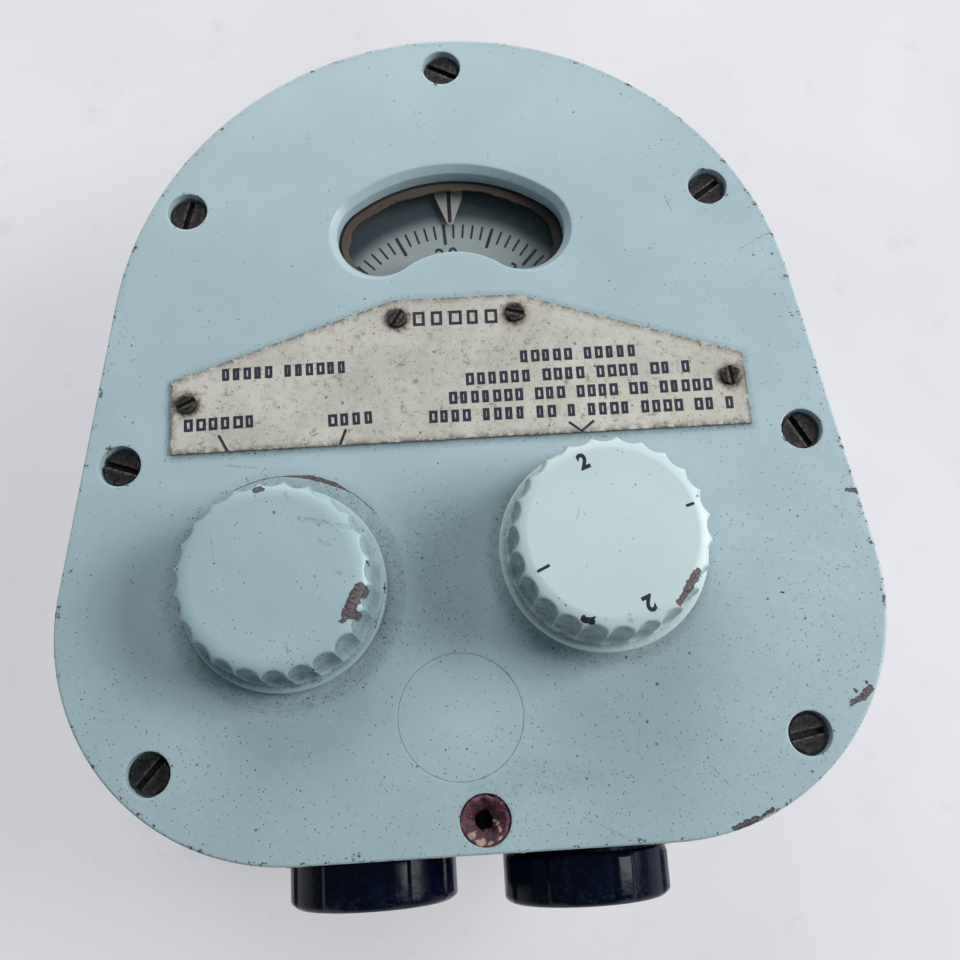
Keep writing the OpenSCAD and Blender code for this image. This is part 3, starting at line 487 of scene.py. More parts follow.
def paint(name, colour, haze=0.5, dirt_and_shade=None, chips=(), pits=(), scuffs=(), scars=None, dots=0.05, dirt_and_shade_share=0.35,
          walls=None):
    """Satin paint with cloudy haze, dark specks, worn edges and chips down to brown primer, each ringed by a
    painted shadow line.

    The fourth argument, given a graph, returns a mask of soiling and painted shade for a dark teal coat,
    and scars(graph) one of bare metal. chips, the black pits and the scuffs are shapes for Graph.marks.
    walls are the heights between which chips and pits die out.
    """
    g = Graph(name)
    shaken = g.wobble(1.0, 0.7)
    fine = g.noise(1.6, 5.0, 0.7)
    deep = [c * (1 - 0.16 * haze) for c in colour[:3]] + [1]
    pale = [min(1, c * (1 + 0.10 * haze)) for c in colour[:3]] + [1]
    g.tint = g.mix(g.patches(0.3, 0.75, 0.045, 4.0, 0.6), deep, pale)
    g.coat(g.fade(fine, 0.5, 0.85), srgb(92, 108, 104), 0.16)
    grime_and_shade = g.attribute("grime_and_shade")
    if dirt_and_shade:
        grime_and_shade = g.most(grime_and_shade, dirt_and_shade(g))
    streak = g.patches(0.35, 0.8, 0.5, 6.0, 0.75)
    # film is a dark teal coat of dirt and painted shade, from the grime marks and the mask above.
    film = g.math("MULTIPLY", grime_and_shade, g.plus(streak, 0.5), True)
    g.coat(film, srgb(66, 88, 90), dirt_and_shade_share)
    strewn = g.times(g.patches(0.42, 0.66, 0.09, 3.0), dots)
    small = g.specks(0.45, 0.22, g.times(grime_and_shade, 0.75), strewn)
    large = g.specks(1.5, 0.40, g.times(grime_and_shade, 0.35), g.times(strewn, 1.4))
    speck = g.most(small, large)
    g.coat(speck, srgb(50, 58, 62), 0.75)
    rub = g.times(g.attribute("wear"), g.patches(0.53, 0.65, 0.45, 6.0, 0.75))
    bare = g.fade(rub, 0.50, 0.60)
    # line is a painted shadow: a dark ring round the bare patches, where the paint's edge would shade the
    # metal.
    line = g.times(g.fade(rub, 0.40, 0.50), g.fade(rub, 0.62, 0.54))
    shield = 0.0
    if walls:
        z = g.vector("DOT_PRODUCT", g.spot, (0, 0, 1))
        depth = g.math("MINIMUM", g.minus(walls[1], z), g.minus(z, walls[0]))
        shield = g.times(g.most(depth, 0.0), 0.5)
    if chips:
        away = g.plus(g.marks(shaken, chips), shield)
        bare = g.most(bare, g.fade(away, 0.06, -0.06))
        line = g.most(line, g.fade(g.math("ABSOLUTE", away), 0.20, 0.05))
    if scars:
        bare = g.most(bare, scars(g))
    metal = g.mix(g.fade(fine, 0.35, 0.65), srgb(50, 41, 46), srgb(116, 104, 104))
    g.coat(bare, metal)
    # The painted shadow line round chips and worn patches.
    g.coat(line, srgb(38, 36, 42), 0.75)
    if pits:
        pit = g.fade(g.plus(g.marks(shaken, pits), shield), 0.05, -0.05)
        g.coat(pit, g.mix(g.fade(fine, 0.5, 0.7), srgb(24, 28, 36), srgb(72, 62, 66)))
        bare = g.most(bare, pit)
    if scuffs:
        rubbed = g.times(g.fade(g.marks(g.wobble(2.0, 0.5), scuffs, 0.1), 0.12, -0.04),
                        g.patches(0.40, 0.58, 1.3, 4.0, 0.7))
        g.coat(rubbed, srgb(96, 114, 116), 0.4)
    g.set(Base_Color=g.tint, Roughness=g.plus(g.times(bare, 0.2), 0.36), Specular_IOR_Level=0.5)
    height = g.minus(g.times(g.noise(2.2, 2.0, 0.5), 0.2), bare)
    g.bump(g.minus(height, g.times(speck, 0.35)), 0.08, 0.7)


def metal(name, colour, dark, rough=0.35, scale=0.8, share=0.5, metallic=1.0, wear=0.0):
    """Machined metal, dulled in patches, with fine scratches and brighter worn edges."""
    g = Graph(name)
    patch = g.patches(0.5 - share / 3, 0.5 + share / 3, scale, 5.0, 0.65)
    brushed = g.noise(3.0, 4.0, 0.7, g.vector("MULTIPLY", g.spot, (0.35, 2.2, 1.0)))
    g.tint = g.mix(patch, colour, dark)
    if wear:
        rubbed = g.times(g.attribute("wear"), g.patches(0.35, 0.6, 1.5, 4.0, 0.7))
        g.coat(rubbed, srgb(122, 108, 96), wear)
    g.set(Base_Color=g.tint, Metallic=metallic)
    g.set(Roughness=g.plus(g.times(patch, 0.25), rough))
    g.bump(brushed, 0.02, 0.6)


def moulded(name, colour, rough, dust=0.3, scale=1.2, speck=None, shaded=False):
    """Plastic, rubber or laminate with dust in its grain, darkened near black by the grime marks if shaded,
    which on the cork gasket paint shadow and shade.
    """
    g = Graph(name)
    grain = g.noise(scale, 5.0, 0.7)
    pale = [min(1, c * 1.5 + 0.02) for c in colour[:3]] + [1]
    g.tint = g.mix(g.times(g.fade(grain, 0.45, 0.8), dust), colour, pale)
    if speck:
        g.coat(g.specks(1.0, 0.45, 0.35), speck)
    if shaded:
        # Painted shadow and shade, near black.
        g.coat(g.attribute("grime_and_shade"), srgb(14, 14, 16))
    g.set(Base_Color=g.tint, Roughness=g.plus(g.times(grain, 0.2), rough - 0.1))
    g.bump(grain, 0.05, 0.6)


def ring_mask(g, axis, inner, outer, soft):
    """1 between two radii about an axis, fading out over soft."""
    away = g.vector("DISTANCE", g.plan, (axis.x, axis.y, 0))
    return g.times(g.fade(away, inner - soft, inner), g.fade(away, outer + soft, outer))


def panel_dirt_and_shade(g):
    """Soiling with painted contact shade round the knobs' feet, soiling with the setting knob's painted
    shadow between the knobs, darkening towards the bottom, and a stain above the seal.
    """
    # knobs: dirt, and painted contact shade where each knob stands on the panel.
    knobs = g.most(ring_mask(g, SWITCH_AXIS, 20, 23.6, 4.6), ring_mask(g, INPUT_AXIS, 20, 22.4, 3.5))
    # between: dirt, and the painted shadow that the setting knob casts on the panel between the knobs.
    between = g.fade(g.marks(g.wobble(0.1, 5.0), [(-10, -44, -8, -66, 2.0)]), 13, 0)
    stain = g.fade(g.marks(g.wobble(0.12, 5.0), [(-1, -101, 20, -98, 2.0)]), 5, -1)
    # low: darker towards the bottom of the panel.
    low = g.fade(g.vector("DISTANCE", g.plan, (-20, 20, 0)), 70, 140)
    disc = g.times(ring_mask(g, DISC_AXIS, 12.97, 13.13, 0.2), g.patches(0.44, 0.56, 0.10, 3.0))
    seal = ring_mask(g, SEAL_AXIS, 4, 5.3, 1.5)
    return g.most(knobs, g.times(between, 0.5), g.times(stain, 0.55),
                   g.times(low, 0.3), g.times(disc, 0.45), g.times(seal, 0.6))


def switch_arc(g):
    """Bare arc worn through beside the function switch's knob."""
    off = g.vector("SUBTRACT", g.wobble(0.7, 0.3), (SWITCH_AXIS.x, SWITCH_AXIS.y, 0))
    split = g.add("ShaderNodeSeparateXYZ")
    g.put(split.inputs[0], off)
    turn = g.math("ARCTAN2", split.outputs[1], split.outputs[0])
    thick = g.times(g.fade(turn, radians(56), radians(66)),
                   g.fade(turn, radians(92), radians(74)))
    thin = g.times(g.fade(turn, radians(34), radians(44)),
                  g.fade(turn, radians(124), radians(110)))
    half = g.plus(g.times(thick, 0.42), g.times(thin, 0.10))
    away = g.math("ABSOLUTE", g.minus(g.vector("LENGTH", off), 25.3))
    return g.fade(g.minus(away, half), 0.05, -0.05)


def make_materials():
    """Every material by its slot in the record."""
    paint(
        "panel_paint", srgb(174, 196, 202), 0.35, panel_dirt_and_shade, scars=switch_arc, dots=0.07,
        chips=[(84.0, -41.6, 86.0, -41.9, 0.45), (78.0, -87.4, 79.4, -86.6, 0.5),
               (80.6, -86.2, 82.2, -84.6, 0.7),
               (79.2, -84.9, 0.35), (81.6, -83.2, 0.3), (50.5, -110.6, 55.0, -109.0, 0.5),
               (56.0, -108.6, 58.5, -107.4, 0.3)],
        pits=[(51.3, 33.2, 52.5, 29.1, 0.05), (67.6, 18.0, 75.6, 22.3, 0.03),
              (66.3, -63.2, 66.8, -63.4, 0.2)],
        scuffs=[(19.8, -106.7, 23.1, -108.1, 0.14), (23.1, -108.1, 26.6, -110.0, 0.14),
                (26.6, -110.0, 29.2, -111.9, 0.14), (-53, -28, -46, -29, 0.2), (47, -98, 50, -102, 0.1)])
    paint("case_paint", srgb(156, 178, 184), 0.6, dots=0.2)
    # In both knob paints, the share 0.8 lays a strong coat of painted shade and dirt on the flutes and feet.
    paint(
        "switch_knob_paint", srgb(168, 192, 198), 0.4, dots=0.16, dirt_and_shade_share=0.8, walls=(72.8, 84.0),
        chips=[(-22.3, -60.1, -24.8, -64.9, 1.15), (-21.9, -60.1, -21.3, -60.6, 0.8),
               (-25.0, -65.2, -26.1, -66.5, 0.35),
               (-23.6, -65.0, -23.0, -65.3, 0.75), (-42.8, -38.8, -41.4, -38.7, 0.5),
               (-19.5, -62.6, -20.8, -66.0, 0.28),
               (-61.0, -56.6, -61.0, -57.8, 0.5)],
        pits=[(-20.9, -54.6, -19.9, -55.6, 0.15), (-19.9, -55.6, -20.3, -56.7, 0.35),
              (-18.4, -56.9, -18.6, -58.8, 0.4),
              (-33.4, -76.3, -32.4, -75.3, 0.28), (-32.4, -75.3, -31.4, -75.0, 0.2), (-37.7, -44.3, 0.14),
              (-50.9, -53.4, 0.14)],
        scuffs=[(-51.7, -46.6, -50.9, -53.2, 0.08), (-34, -45.2, -23.6, -47.6, 0.45),
                (-36.7, -39.8, -36.3, -41.4, 0.3),
                (-30, -50, -28, -51, 0.4), (-27, -56, -26, -57, 0.4), (-37, -70, -36.4, -72, 0.3)])
    # The setting knob's paint is the switch knob's paint made lighter: painted light.
    paint(
        "input_knob_paint_painted_lighter", srgb(203, 221, 221), 0.25, dots=0.07, dirt_and_shade_share=0.8, walls=(78.8, 90.0),
        chips=[(43.4, -61.9, 41.4, -64.4, 0.8), (41.0, -65.2, 39.4, -67.2, 0.65)],
        pits=[(20.7, -69.5, 22.3, -70.0, 0.65), (17.4, -69.4, 0.25), (38.2, -70.9, 0.15), (17.2, -66.6, 0.2),
              (42.9, -69.6, 41.9, -72.0, 0.12)],
        scuffs=[(18.0, -35.9, 20.6, -34.4, 0.15), (21.2, -34.2, 23.6, -33.6, 0.2), (21, -50, 21.5, -48, 0.1),
                (29.6, -69.8, 29.9, -69.9, 0.8)])
    legend_material()
    ink_material("legend_ink", srgb(18, 27, 48), 0.55)
    ink_material("knob_ink", srgb(17, 22, 36), 0.55)
    moulded("white_paint", srgb(196, 190, 180), 0.55, 0.3)
    dial_material()
    ink_material("dial_ink", srgb(16, 26, 40), 0.6)
    metal("dark_screw", srgb(50, 50, 52), srgb(17, 20, 28), 0.45, 1.4, 0.6, 0.8, 0.55)
    seal_material()
    # The screw down the seal's hole is made near-black: its dark finish, deepened with the hole's painted
    # shade.
    metal("seal_hole_painted_shade", srgb(22, 16, 20), srgb(10, 8, 11), 0.6)
    moulded("cork", srgb(84, 70, 62), 0.85, 0.5, 2.0, srgb(42, 36, 36), True)
    glass_material()
    metal("plain_aluminium", srgb(176, 176, 172), srgb(132, 134, 132), 0.36)
    metal("black_anodise", srgb(40, 41, 44), srgb(20, 21, 23), 0.4)
    metal("brass", srgb(186, 152, 92), srgb(116, 92, 60), 0.34)
    metal("steel", srgb(168, 168, 168), srgb(112, 114, 118), 0.3)
    moulded("black_rubber", srgb(40, 38, 36), 0.75, 0.5)
    moulded("black_plastic", srgb(28, 28, 30), 0.45, 0.4)
    cap_material()
    moulded("paxolin", srgb(126, 84, 46), 0.45, 0.6, 0.6)
    moulded("loom_sleeve", srgb(124, 104, 56), 0.7, 0.8, 3.0)


def legend_material():
    """Cream paint, grey with handling, with brown halos at the screws and dark ragged edges."""
    g = Graph("legend_paint")
    shaken = g.wobble(0.9, 1.6)
    g.tint = g.mix(g.patches(0.3, 0.7, 0.08, 5.0, 0.65), srgb(208, 203, 192), srgb(188, 184, 173))
    g.coat(g.patches(0.47, 0.70, 0.7, 6.0, 0.8), srgb(142, 134, 120), 0.6)
    g.coat(g.patches(0.58, 0.66, 0.35, 5.0, 0.8), srgb(112, 108, 98), 0.5)
    away = g.marks(shaken, [(p.x, p.y, 2.4) for p, _ in islands("legend_screws")])
    g.coat(g.fade(away, 1.9, 0.0), srgb(118, 90, 68), 0.6)
    g.coat(g.fade(away, 0.6, -0.2), srgb(54, 44, 40), 0.7)
    speck = g.most(g.specks(0.55, 0.24, 0.16), g.specks(1.9, 0.5, 0.20))
    g.coat(speck, srgb(84, 70, 60), 0.75)
    worn = g.times(g.attribute("wear"), g.patches(0.38, 0.55, 0.6, 5.0, 0.75))
    g.coat(worn, srgb(58, 50, 46), 0.8)
    g.set(Base_Color=g.tint, Roughness=0.6)
    g.bump(g.minus(g.noise(1.8, 3.0, 0.6), speck), 0.05, 0.6)


def dial_material():
    """Matt printed card, grey-green, with painted shade that goes dark outside the scale, where the window's
    walls shade the card.
    """
    g = Graph("dial_paint")
    grain = g.noise(1.2, 5.0, 0.7)
    g.tint = g.mix(g.fade(grain, 0.4, 0.8), srgb(168, 180, 180), srgb(184, 190, 188))
    away = g.vector("DISTANCE", g.plan, (DIAL_AXIS.x, DIAL_AXIS.y, 0))
    # Painted shade: dark blue-grey outside the scale.
    g.coat(g.fade(away, 29.6, 34.6), srgb(18, 42, 54), 0.88)
    g.set(Base_Color=g.tint, Roughness=0.65)
    g.bump(grain, 0.03, 0.5)


def ink_material(name, colour, rough):
    """Printed or filled marks, thin in places."""
    g = Graph(name)
    pale = [min(1, c * 1.9 + 0.02) for c in colour[:3]] + [1]
    g.tint = g.mix(g.patches(0.45, 0.8, 1.8, 4.0, 0.7), colour, pale)
    g.set(Base_Color=g.tint, Roughness=rough)
    g.bump(g.noise(3.0), 0.01)


def seal_material():
    """Dark red sealing compound: glossy, cracked, with a painted pink highlight on its ragged rim, and beige
    where it has perished.
    """
    g = Graph("seal_compound")
    lump = g.noise(0.9, 4.0, 0.6)
    g.tint = g.mix(g.fade(lump, 0.35, 0.7), srgb(40, 8, 26), srgb(96, 30, 54))
    # Painted highlight: pink on the compound's rim.
    g.coat(g.times(g.attribute("wear"), g.patches(0.35, 0.6, 0.8, 5.0, 0.7)), srgb(158, 96, 112))
    off = g.marks(g.wobble(0.7, 1.2), [(SEAL_AXIS.x + x, SEAL_AXIS.y + y, r) for x, y, r in
                                      ((-2.9, -3.0, 0.9), (-1.3, -4.2, 0.8), (0.9, -4.5, 0.7),
                                       (2.8, -3.6, 0.5),
                                       (1.2, 0.8, 0.35), (1.7, -0.1, 0.4), (2.4, -0.9, 0.4),
                                       (2.9, -2.0, 0.4))])
    g.coat(g.fade(off, 0.1, -0.1), g.mix(lump, srgb(120, 92, 76), srgb(206, 178, 150)))
    g.set(Base_Color=g.tint, Roughness=g.plus(g.times(lump, 0.3), 0.12))
    g.bump(g.noise(1.6, 5.0, 0.7), 0.35, 0.9)


def glass_material():
    """Clear glass with a thin film of dust."""
    g = Graph("window_glass")
    dust = g.patches(0.5, 0.85, 0.7, 6.0, 0.75)
    g.set(Base_Color=g.mix(dust, srgb(60, 74, 80), srgb(190, 190, 184)), Roughness=0.08)
    g.set(Alpha=g.plus(g.times(dust, 0.10), 0.07))


def cap_material():
    """Glossy black moulding, with pale scuffs on its proud edges."""
    g = Graph("cap_plastic")
    rubbed = g.times(g.attribute("wear"), g.patches(0.5, 0.62, 0.8, 5.0, 0.75))
    g.tint = g.mix(g.patches(0.4, 0.7, 0.25, 4.0), srgb(3, 8, 30), srgb(6, 16, 40))
    g.coat(rubbed, srgb(70, 84, 100), 0.25)
    g.set(Base_Color=g.tint, Roughness=g.plus(g.times(rubbed, 0.35), 0.2))
    g.set(Specular_IOR_Level=0.13)
    g.bump(g.noise(0.35, 3.0), 0.12, 0.5)


# ---- panel and case

def well(s, spot, r, floor_z, bore_r, wear=0.9):
    """A counterbore with a softened rim. Returns the rings on the face and on the back."""
    rings = [(r + 0.22, FACE), (r + 0.08, FACE - 0.04), (r, FACE - 0.22), (r, floor_z + 0.1),
             (r - 0.1, floor_z), (bore_r, floor_z), (bore_r, BACK)]
    marks = [wear, wear, wear, 0.0, 0.0, 0.0, 0.0]
    return s.sweep([(lift(circle(spot, a), z), w) for (a, z), w in zip(rings, marks)])


def front_panel():
    s = Shape()
    rim = 0.55
    top, bottom = s.sweep(edge(panel_outline, FACE, BACK, rim, 0.3))
    holes, guides = [], []

    def guide(outline, wear=0.0, grime_and_shade=0.0):
        guides.append(s.ring(lift(outline, FACE), wear, grime_and_shade))

    def bevelled(grow):
        """The window's outline, with less of the growth along its lower middle."""
        plain = window_outline(0)
        share = [0.5 + 0.5 * max(0, min(1, max((abs(p.x) - 12) / 10, (p.y - 24) / 8))) for p in plain]
        return [p.lerp(q, k) for p, q, k in zip(plain, window_outline(grow), share)]
    holes.append(s.sweep([(lift(bevelled(grow), z), wear) for grow, z, wear in (
        (WIN_BEVEL + 0.18, FACE, 0.4), (WIN_BEVEL - 0.1, FACE - 0.08, 0.4),
        (0.16, FACE - WIN_BEVEL + 0.14, 0.2), (0, FACE - WIN_BEVEL - 0.14, 0.3),
        (0, BACK + 0.6, 0.0), (0, BACK, 0.0))]))
    guide(bevelled(WIN_BEVEL + 0.7), 0.2)
    guide(bevelled(WIN_BEVEL + 1.4))
    for spot, _ in islands("panel_screws"):
        holes.append(well(s, spot, WELL_R, FACE - WELL_DEPTH, 2.5))
        guide(circle(spot, WELL_R + 0.65), 0.55)
        guide(circle(spot, WELL_R + 1.5))
    holes.append(well(s, SEAL_AXIS, SEAL_WELL_R, FACE - WELL_DEPTH, 2.5))
    holes.append(well(s, DISC_AXIS, DISC_WELL_R, FACE - DISC_T, 10.5, 0.3))
    for axis in (SWITCH_AXIS, INPUT_AXIS):
        holes.append(well(s, axis, 5, FACE - 2, 5 - 0.02, 0.0))
    guide(circle(SEAL_AXIS, SEAL_WELL_R + 0.6), 0.3)
    guide(circle(SEAL_AXIS, SEAL_WELL_R + 1.4))
    guide(circle(DISC_AXIS, 13.7, 72))
    for inset, wear in ((rim + 0.3, 0.7), (rim + 0.9, 0.3), (rim + 1.7, 0.0)):
        guide(panel_outline(inset), wear, wear * 0.4)
    for grow, grime_and_shade in ((-1, 1.0), (0.1, 1.0), (0.6, 0.7), (1.8, 0.0)):
        guide(stepped_legend(grow), 0.0, grime_and_shade)
    s.fill(top, [hole[0] for hole in holes], guides)
    s.fill(bottom, [hole[1] for hole in holes])
    piece("painted_front_panel", s, "unit", "panel_paint", "front_panel")


def blanking_disc():
    s = Shape()
    s.solid(edge(lambda d: circle(DISC_AXIS, DISC_R - d, 72), FACE, FACE - DISC_T, 0.04, 0.1, 0.0))
    piece("painted_blanking_disc", s, "unit", "panel_paint", "blanking_disc")


def case():
    """The cast box behind the panel, with its connector openings."""
    s = Shape()
    low, high = box("case")
    inset = PANEL_HIGH.y - high.y
    wall, floor_z, rear_r = 3.2, 3.0, 1.6
    inner, inner_low = s.sweep([(lift(panel_outline(inset + wall), high.z), 0.0),
                                (lift(panel_outline(inset + wall), floor_z + 1), 0.0),
                                (lift(panel_outline(inset + wall + 1), floor_z), 0.0)])
    top, bottom = s.sweep(edge(lambda d: panel_outline(inset + d), high.z, 0, 0.15, rear_r, 0.8, 5))
    s.bridge(top, inner)
    s.fill(inner_low)
    fixing = next(mount for mount in frame["record"]["mounts"] if mount["kind"] == "bolt_pattern")
    centre, dims = Vector(fixing["pos_m"]) / MM, fixing["dims"]
    r = dims["hole_r_mm"]
    holes = []
    for sx in (-0.5, 0.5):
        for sy in (-0.5, 0.5):
            spot = (centre.x + sx * dims["spacing_x_mm"], centre.y + sy * dims["spacing_y_mm"])
            mouth, end = s.sweep([(lift(circle(spot, q, 32), z), 0.4)
                                  for q, z in ((r + 0.35, 0.0), (r, 0.35), (r, 2.2), (0.2, 2.6))])
            s.cap(end)
            holes.append(mouth)
    s.fill(bottom, holes)
    made = piece("painted_case", s, "unit", "case_paint", "case")
    for node in ("cap_seal_left", "cap_seal_right"):
        spot = middle(node)
        tool = Shape()
        tool.solid([([(spot.x + p.x, y, spot.z + p.y) for p in circle((0, 0), 15.2)], 0.0)
                    for y in (low.y - 2, low.y + wall + 6)])
        cut(made, tool)


# ---- screws

def slotted_head(s, spot, top, r, height, slot_w, slot_depth, turn, round_r=0.3, dome=0.0):
    """A screw head in two half rounds on a disc, with its slot between them."""
    base_top = top - slot_depth
    lower = [(r - 0.15, top - height), (r, top - height + 0.15), (r, base_top)]
    s.solid([(lift(circle(spot, q, 40), z), 0.0) for q, z in lower])
    turn = radians(turn)
    for side in (0, pi):
        def half(inset):
            start = asin((slot_w / 2 + inset) / (r - inset))
            turns = [start + (pi - 2 * start) * i / 24 + turn + side for i in range(25)]
            return [(spot[0] + (r - inset) * cos(t), spot[1] + (r - inset) * sin(t)) for t in turns]
        s.solid([([(x, y, z) for x, y in half(inset)], wear) for inset, z, wear in (
            (0.0, base_top - 0.01, 0.0), (0.0, top - round_r, 0.3), (round_r * 0.3, top - round_r * 0.3, 1.0),
            (round_r, top, 1.0), (round_r + 0.35, top + dome * 0.4, 0.35), (r * 0.42, top + dome, 0.0))])


def panel_screws():
    s = Shape()
    reach = box("panel_screws")[0].z
    for spot, high in islands("panel_screws"):
        slotted_head(s, spot.xy, high.z, 4.0, 2.2, 1.2, 1.1, slot_turn(spot))
        s.solid([(lift(circle(spot.xy, 2.3, 24), z), 0.0) for z in (high.z - 2.1, reach)])
    piece("cheese_head_screws", s, "unit", "dark_screw", "panel_screws")


def slot_turn(spot):
    """Slot direction of the panel screw at a spot, in degrees."""
    turns = {(0, 71): -28, (62, 35): 35, (76, -27): -62, (68, -93): 10, (-62, 35): 75, (-76, -27): -20,
             (-68, -93): 48}
    return turns[min(turns, key=lambda key: (Vector(key) - spot.xy).length)]


def legend_screws():
    s = Shape()
    for i, (spot, high) in enumerate(islands("legend_screws")):
        slotted_head(s, spot.xy, high.z, 2.25, 1.0, 0.6, 0.5, 25 + 70 * i, 0.35, 0.12)
    piece("legend_plate_screws", s, "unit", "dark_screw", "legend_screws")


# ---- legend plate

def legend_plate():
    s = Shape()
    shape = Random(4)
    nicks = [shape.uniform(0, 0.12) for _ in range(400)]

    def outline(d):
        points = stepped_legend(-d - 0.02)
        centre = Vector((0, -8))
        return [p + (centre - p).normalized() * nicks[i] for i, p in enumerate(points)]
    top, bottom = s.sweep(edge(outline, LEGEND_TOP, FACE, 0.12, 0.02, 1.0, 3))
    guides = [s.ring(lift(stepped_legend(-inset), LEGEND_TOP), wear)
              for inset, wear in ((0.7, 0.5), (1.8, 0.0))]
    s.fill(top, [], guides)
    s.fill(bottom)
    piece("cream_legend_plate", s, "unit", "legend_paint", "legend_plate")


def ribbon(s, path, width, low, high):
    """A flat stroke with round ends along a path of plan points."""
    path = [Vector(p) for p in path]
    half = width / 2
    turns = [pi / 8 * k for k in range(4)]
    sections = []
    for i, here in enumerate(path):
        way = (path[min(i + 1, len(path) - 1)] - path[max(i - 1, 0)]).normalized()
        side = Vector((-way.y, way.x))
        if i == 0:
            sections += [(here - way * half * cos(t), side * half * max(sin(t), 0.05)) for t in turns]
        sections.append((here, side * half))
        if i == len(path) - 1:
            sections += [(here + way * half * cos(t), side * half * max(sin(t), 0.05)) for t in turns[::-1]]
    rings = []
    for centre, out in sections:
        a, b = centre + out, centre - out
        rings.append(([(a.x, a.y, low), (b.x, b.y, low), (b.x, b.y, high), (a.x, a.y, high)], 0.0))
    s.solid(rings)


def cell(s, corner, way, width, height, line, low, high):
    """A hollow box standing on its corner, one stroke of the generic lettering."""
    up = Vector((-way.y, way.x))

    def rect(inset, z):
        right, top = width - inset, height - inset
        across = [(inset, inset), (right, inset), (right, top), (inset, top)]
        return lift([corner + way * x + up * y for x, y in across], z), 0.0
    s.loop([rect(0, low), rect(0, high), rect(line, high), rect(line, low)])


def legend_marks():
    """Rows of blank cells where the plate is lettered, with the index marks of both controls."""
    s = Shape()
    low, high = LEGEND_TOP - 0.01, LEGEND_TOP + INK_RISE
    dice = Random(7)
    rows = [((-9.9, 4.2), (10.1, 3.9), [5], 3.5), ((-53.4, -7.0), (-25.5, -6.6), [5, 6], 2.9),
            ((-61.8, -18.6), (-46.0, -18.3), [6], 2.9), ((-29.8, -19.2), (-19.6, -18.9), [4], 2.9),
            ((14.0, -6.3), (40.5, -6.3), [5, 5], 2.9), ((1.4, -11.1), (52.4, -10.8), [6, 4, 4, 2, 1], 2.9),
            ((-2.6, -15.4), (56.8, -15.4), [7, 3, 4, 2, 5], 2.9),
            ((-7.3, -19.6), (61.3, -20.0), [4, 4, 2, 1, 4, 4, 2, 1], 2.9)]
    for start, end, words, height in rows:
        start, end = Vector(start), Vector(end)
        way = (end - start).normalized()
        units = sum(words) + 0.8 * (len(words) - 1)
        pitch = ((end - start).length + 0.6) / units
        at = start - Vector((-way.y, way.x)) * height / 2
        for word in words:
            for _ in range(word):
                width = pitch * dice.uniform(0.60, 0.80)
                cell(s, at, way, width, height, 0.7, low, high)
                at = at + way * pitch
            at = at + way * pitch * 0.8
    for path in ([(-54.0, -21.4), (-52.3, -24.7)], [(-26.0, -21.6), (-27.2, -24.7)],
                 [(24.0, -22.7), (26.5, -24.8), (29.2, -22.7)]):
        ribbon(s, path, 0.62, low, high)
    piece("legend_marks", s, "unit", "legend_paint", material="legend_ink")


# ---- window and dial

def window_gasket():
    """Cork ring whose cut edge is ragged and narrower under the bump, with a painted shadow under the panel's
    edge and painted shade towards its right side.
    """
    s = Shape()
    low, high = box("window_gasket")
    outer, inner, offset = window_outline(5.0), window_outline(0), window_outline(-2.6)

    def lip(extra):
        points = []
        for p, q in zip(inner, offset):
            share = 1.0 - 0.45 * max(0, min(1, (q.y - p.y) / 2.2))
            share += 0.20 * noise.noise(Vector((p.x * 0.3, p.y * 0.3, 0)))
            share += 0.10 * noise.noise(Vector((p.x * 1.3, p.y * 1.3, 5)))
            points.append(p.lerp(q, share - extra / 2.6))
        return points
    # right: painted shade, darker towards the window's right side.
    right = [min(0.75, max(0.0, (p.x - 14) / 14)) for p in inner]
    # The grime marks near the panel are the painted shadow of the gap under the panel's edge.
    s.loop([(lift(outline, z), 0.0, grime_and_shade) for outline, z, grime_and_shade in (
        (outer, high.z, 1.0), (inner, high.z, 1.0), (window_outline(-0.6), high.z, 0.95),
        (window_outline(-0.85), high.z, right), (lip(0.5), high.z - 0.02, right),
        (lip(0.15), high.z - 0.1, right),
        (lip(0.0), high.z - 0.4, 0.5), (lip(0.2), low.z, 0.9), (outer, low.z, 1.0))])
    piece("cork_window_gasket", s, "unit", "cork", "window_gasket")


def window_glass():
    s = Shape()
    low, high = box("window_glass")
    top, bottom = s.sweep(edge(lambda d: window_outline(6 - d), high.z, low.z, 0.2, 0.2, 0, 2))
    s.fill(top)
    s.fill(bottom)
    piece("clear_window_glass", s, "unit", "window_glass", "window_glass")


def index_pointer():
    low, high = box("index_pointer")
    tip, shoulder = low.y, 40.9
    corner = [(-0.7, tip + 0.25), (-0.45, tip), (0.45, tip), (0.7, tip + 0.25), (high.x, shoulder),
              (high.x, high.y), (low.x, high.y), (low.x, shoulder)]
    s = Shape()

    def outline(inset):
        return [Vector((x * (1 - inset / 3), y + (inset if y < shoulder else -inset))) for x, y in corner]
    s.solid([(lift(outline(i), z), 0.0) for i, z in ((0.0, low.z), (0.0, high.z - 0.06), (0.06, high.z))])
    piece("white_index_pointer", s, "unit", "white_paint", "index_pointer")
    line = Shape()
    ribbon(line, [(0, tip + 0.7), (0, high.y - 1)], 0.95, high.z - 0.02, high.z + INK_RISE)
    piece("index_line", line, "unit", "white_paint", material="dial_ink")


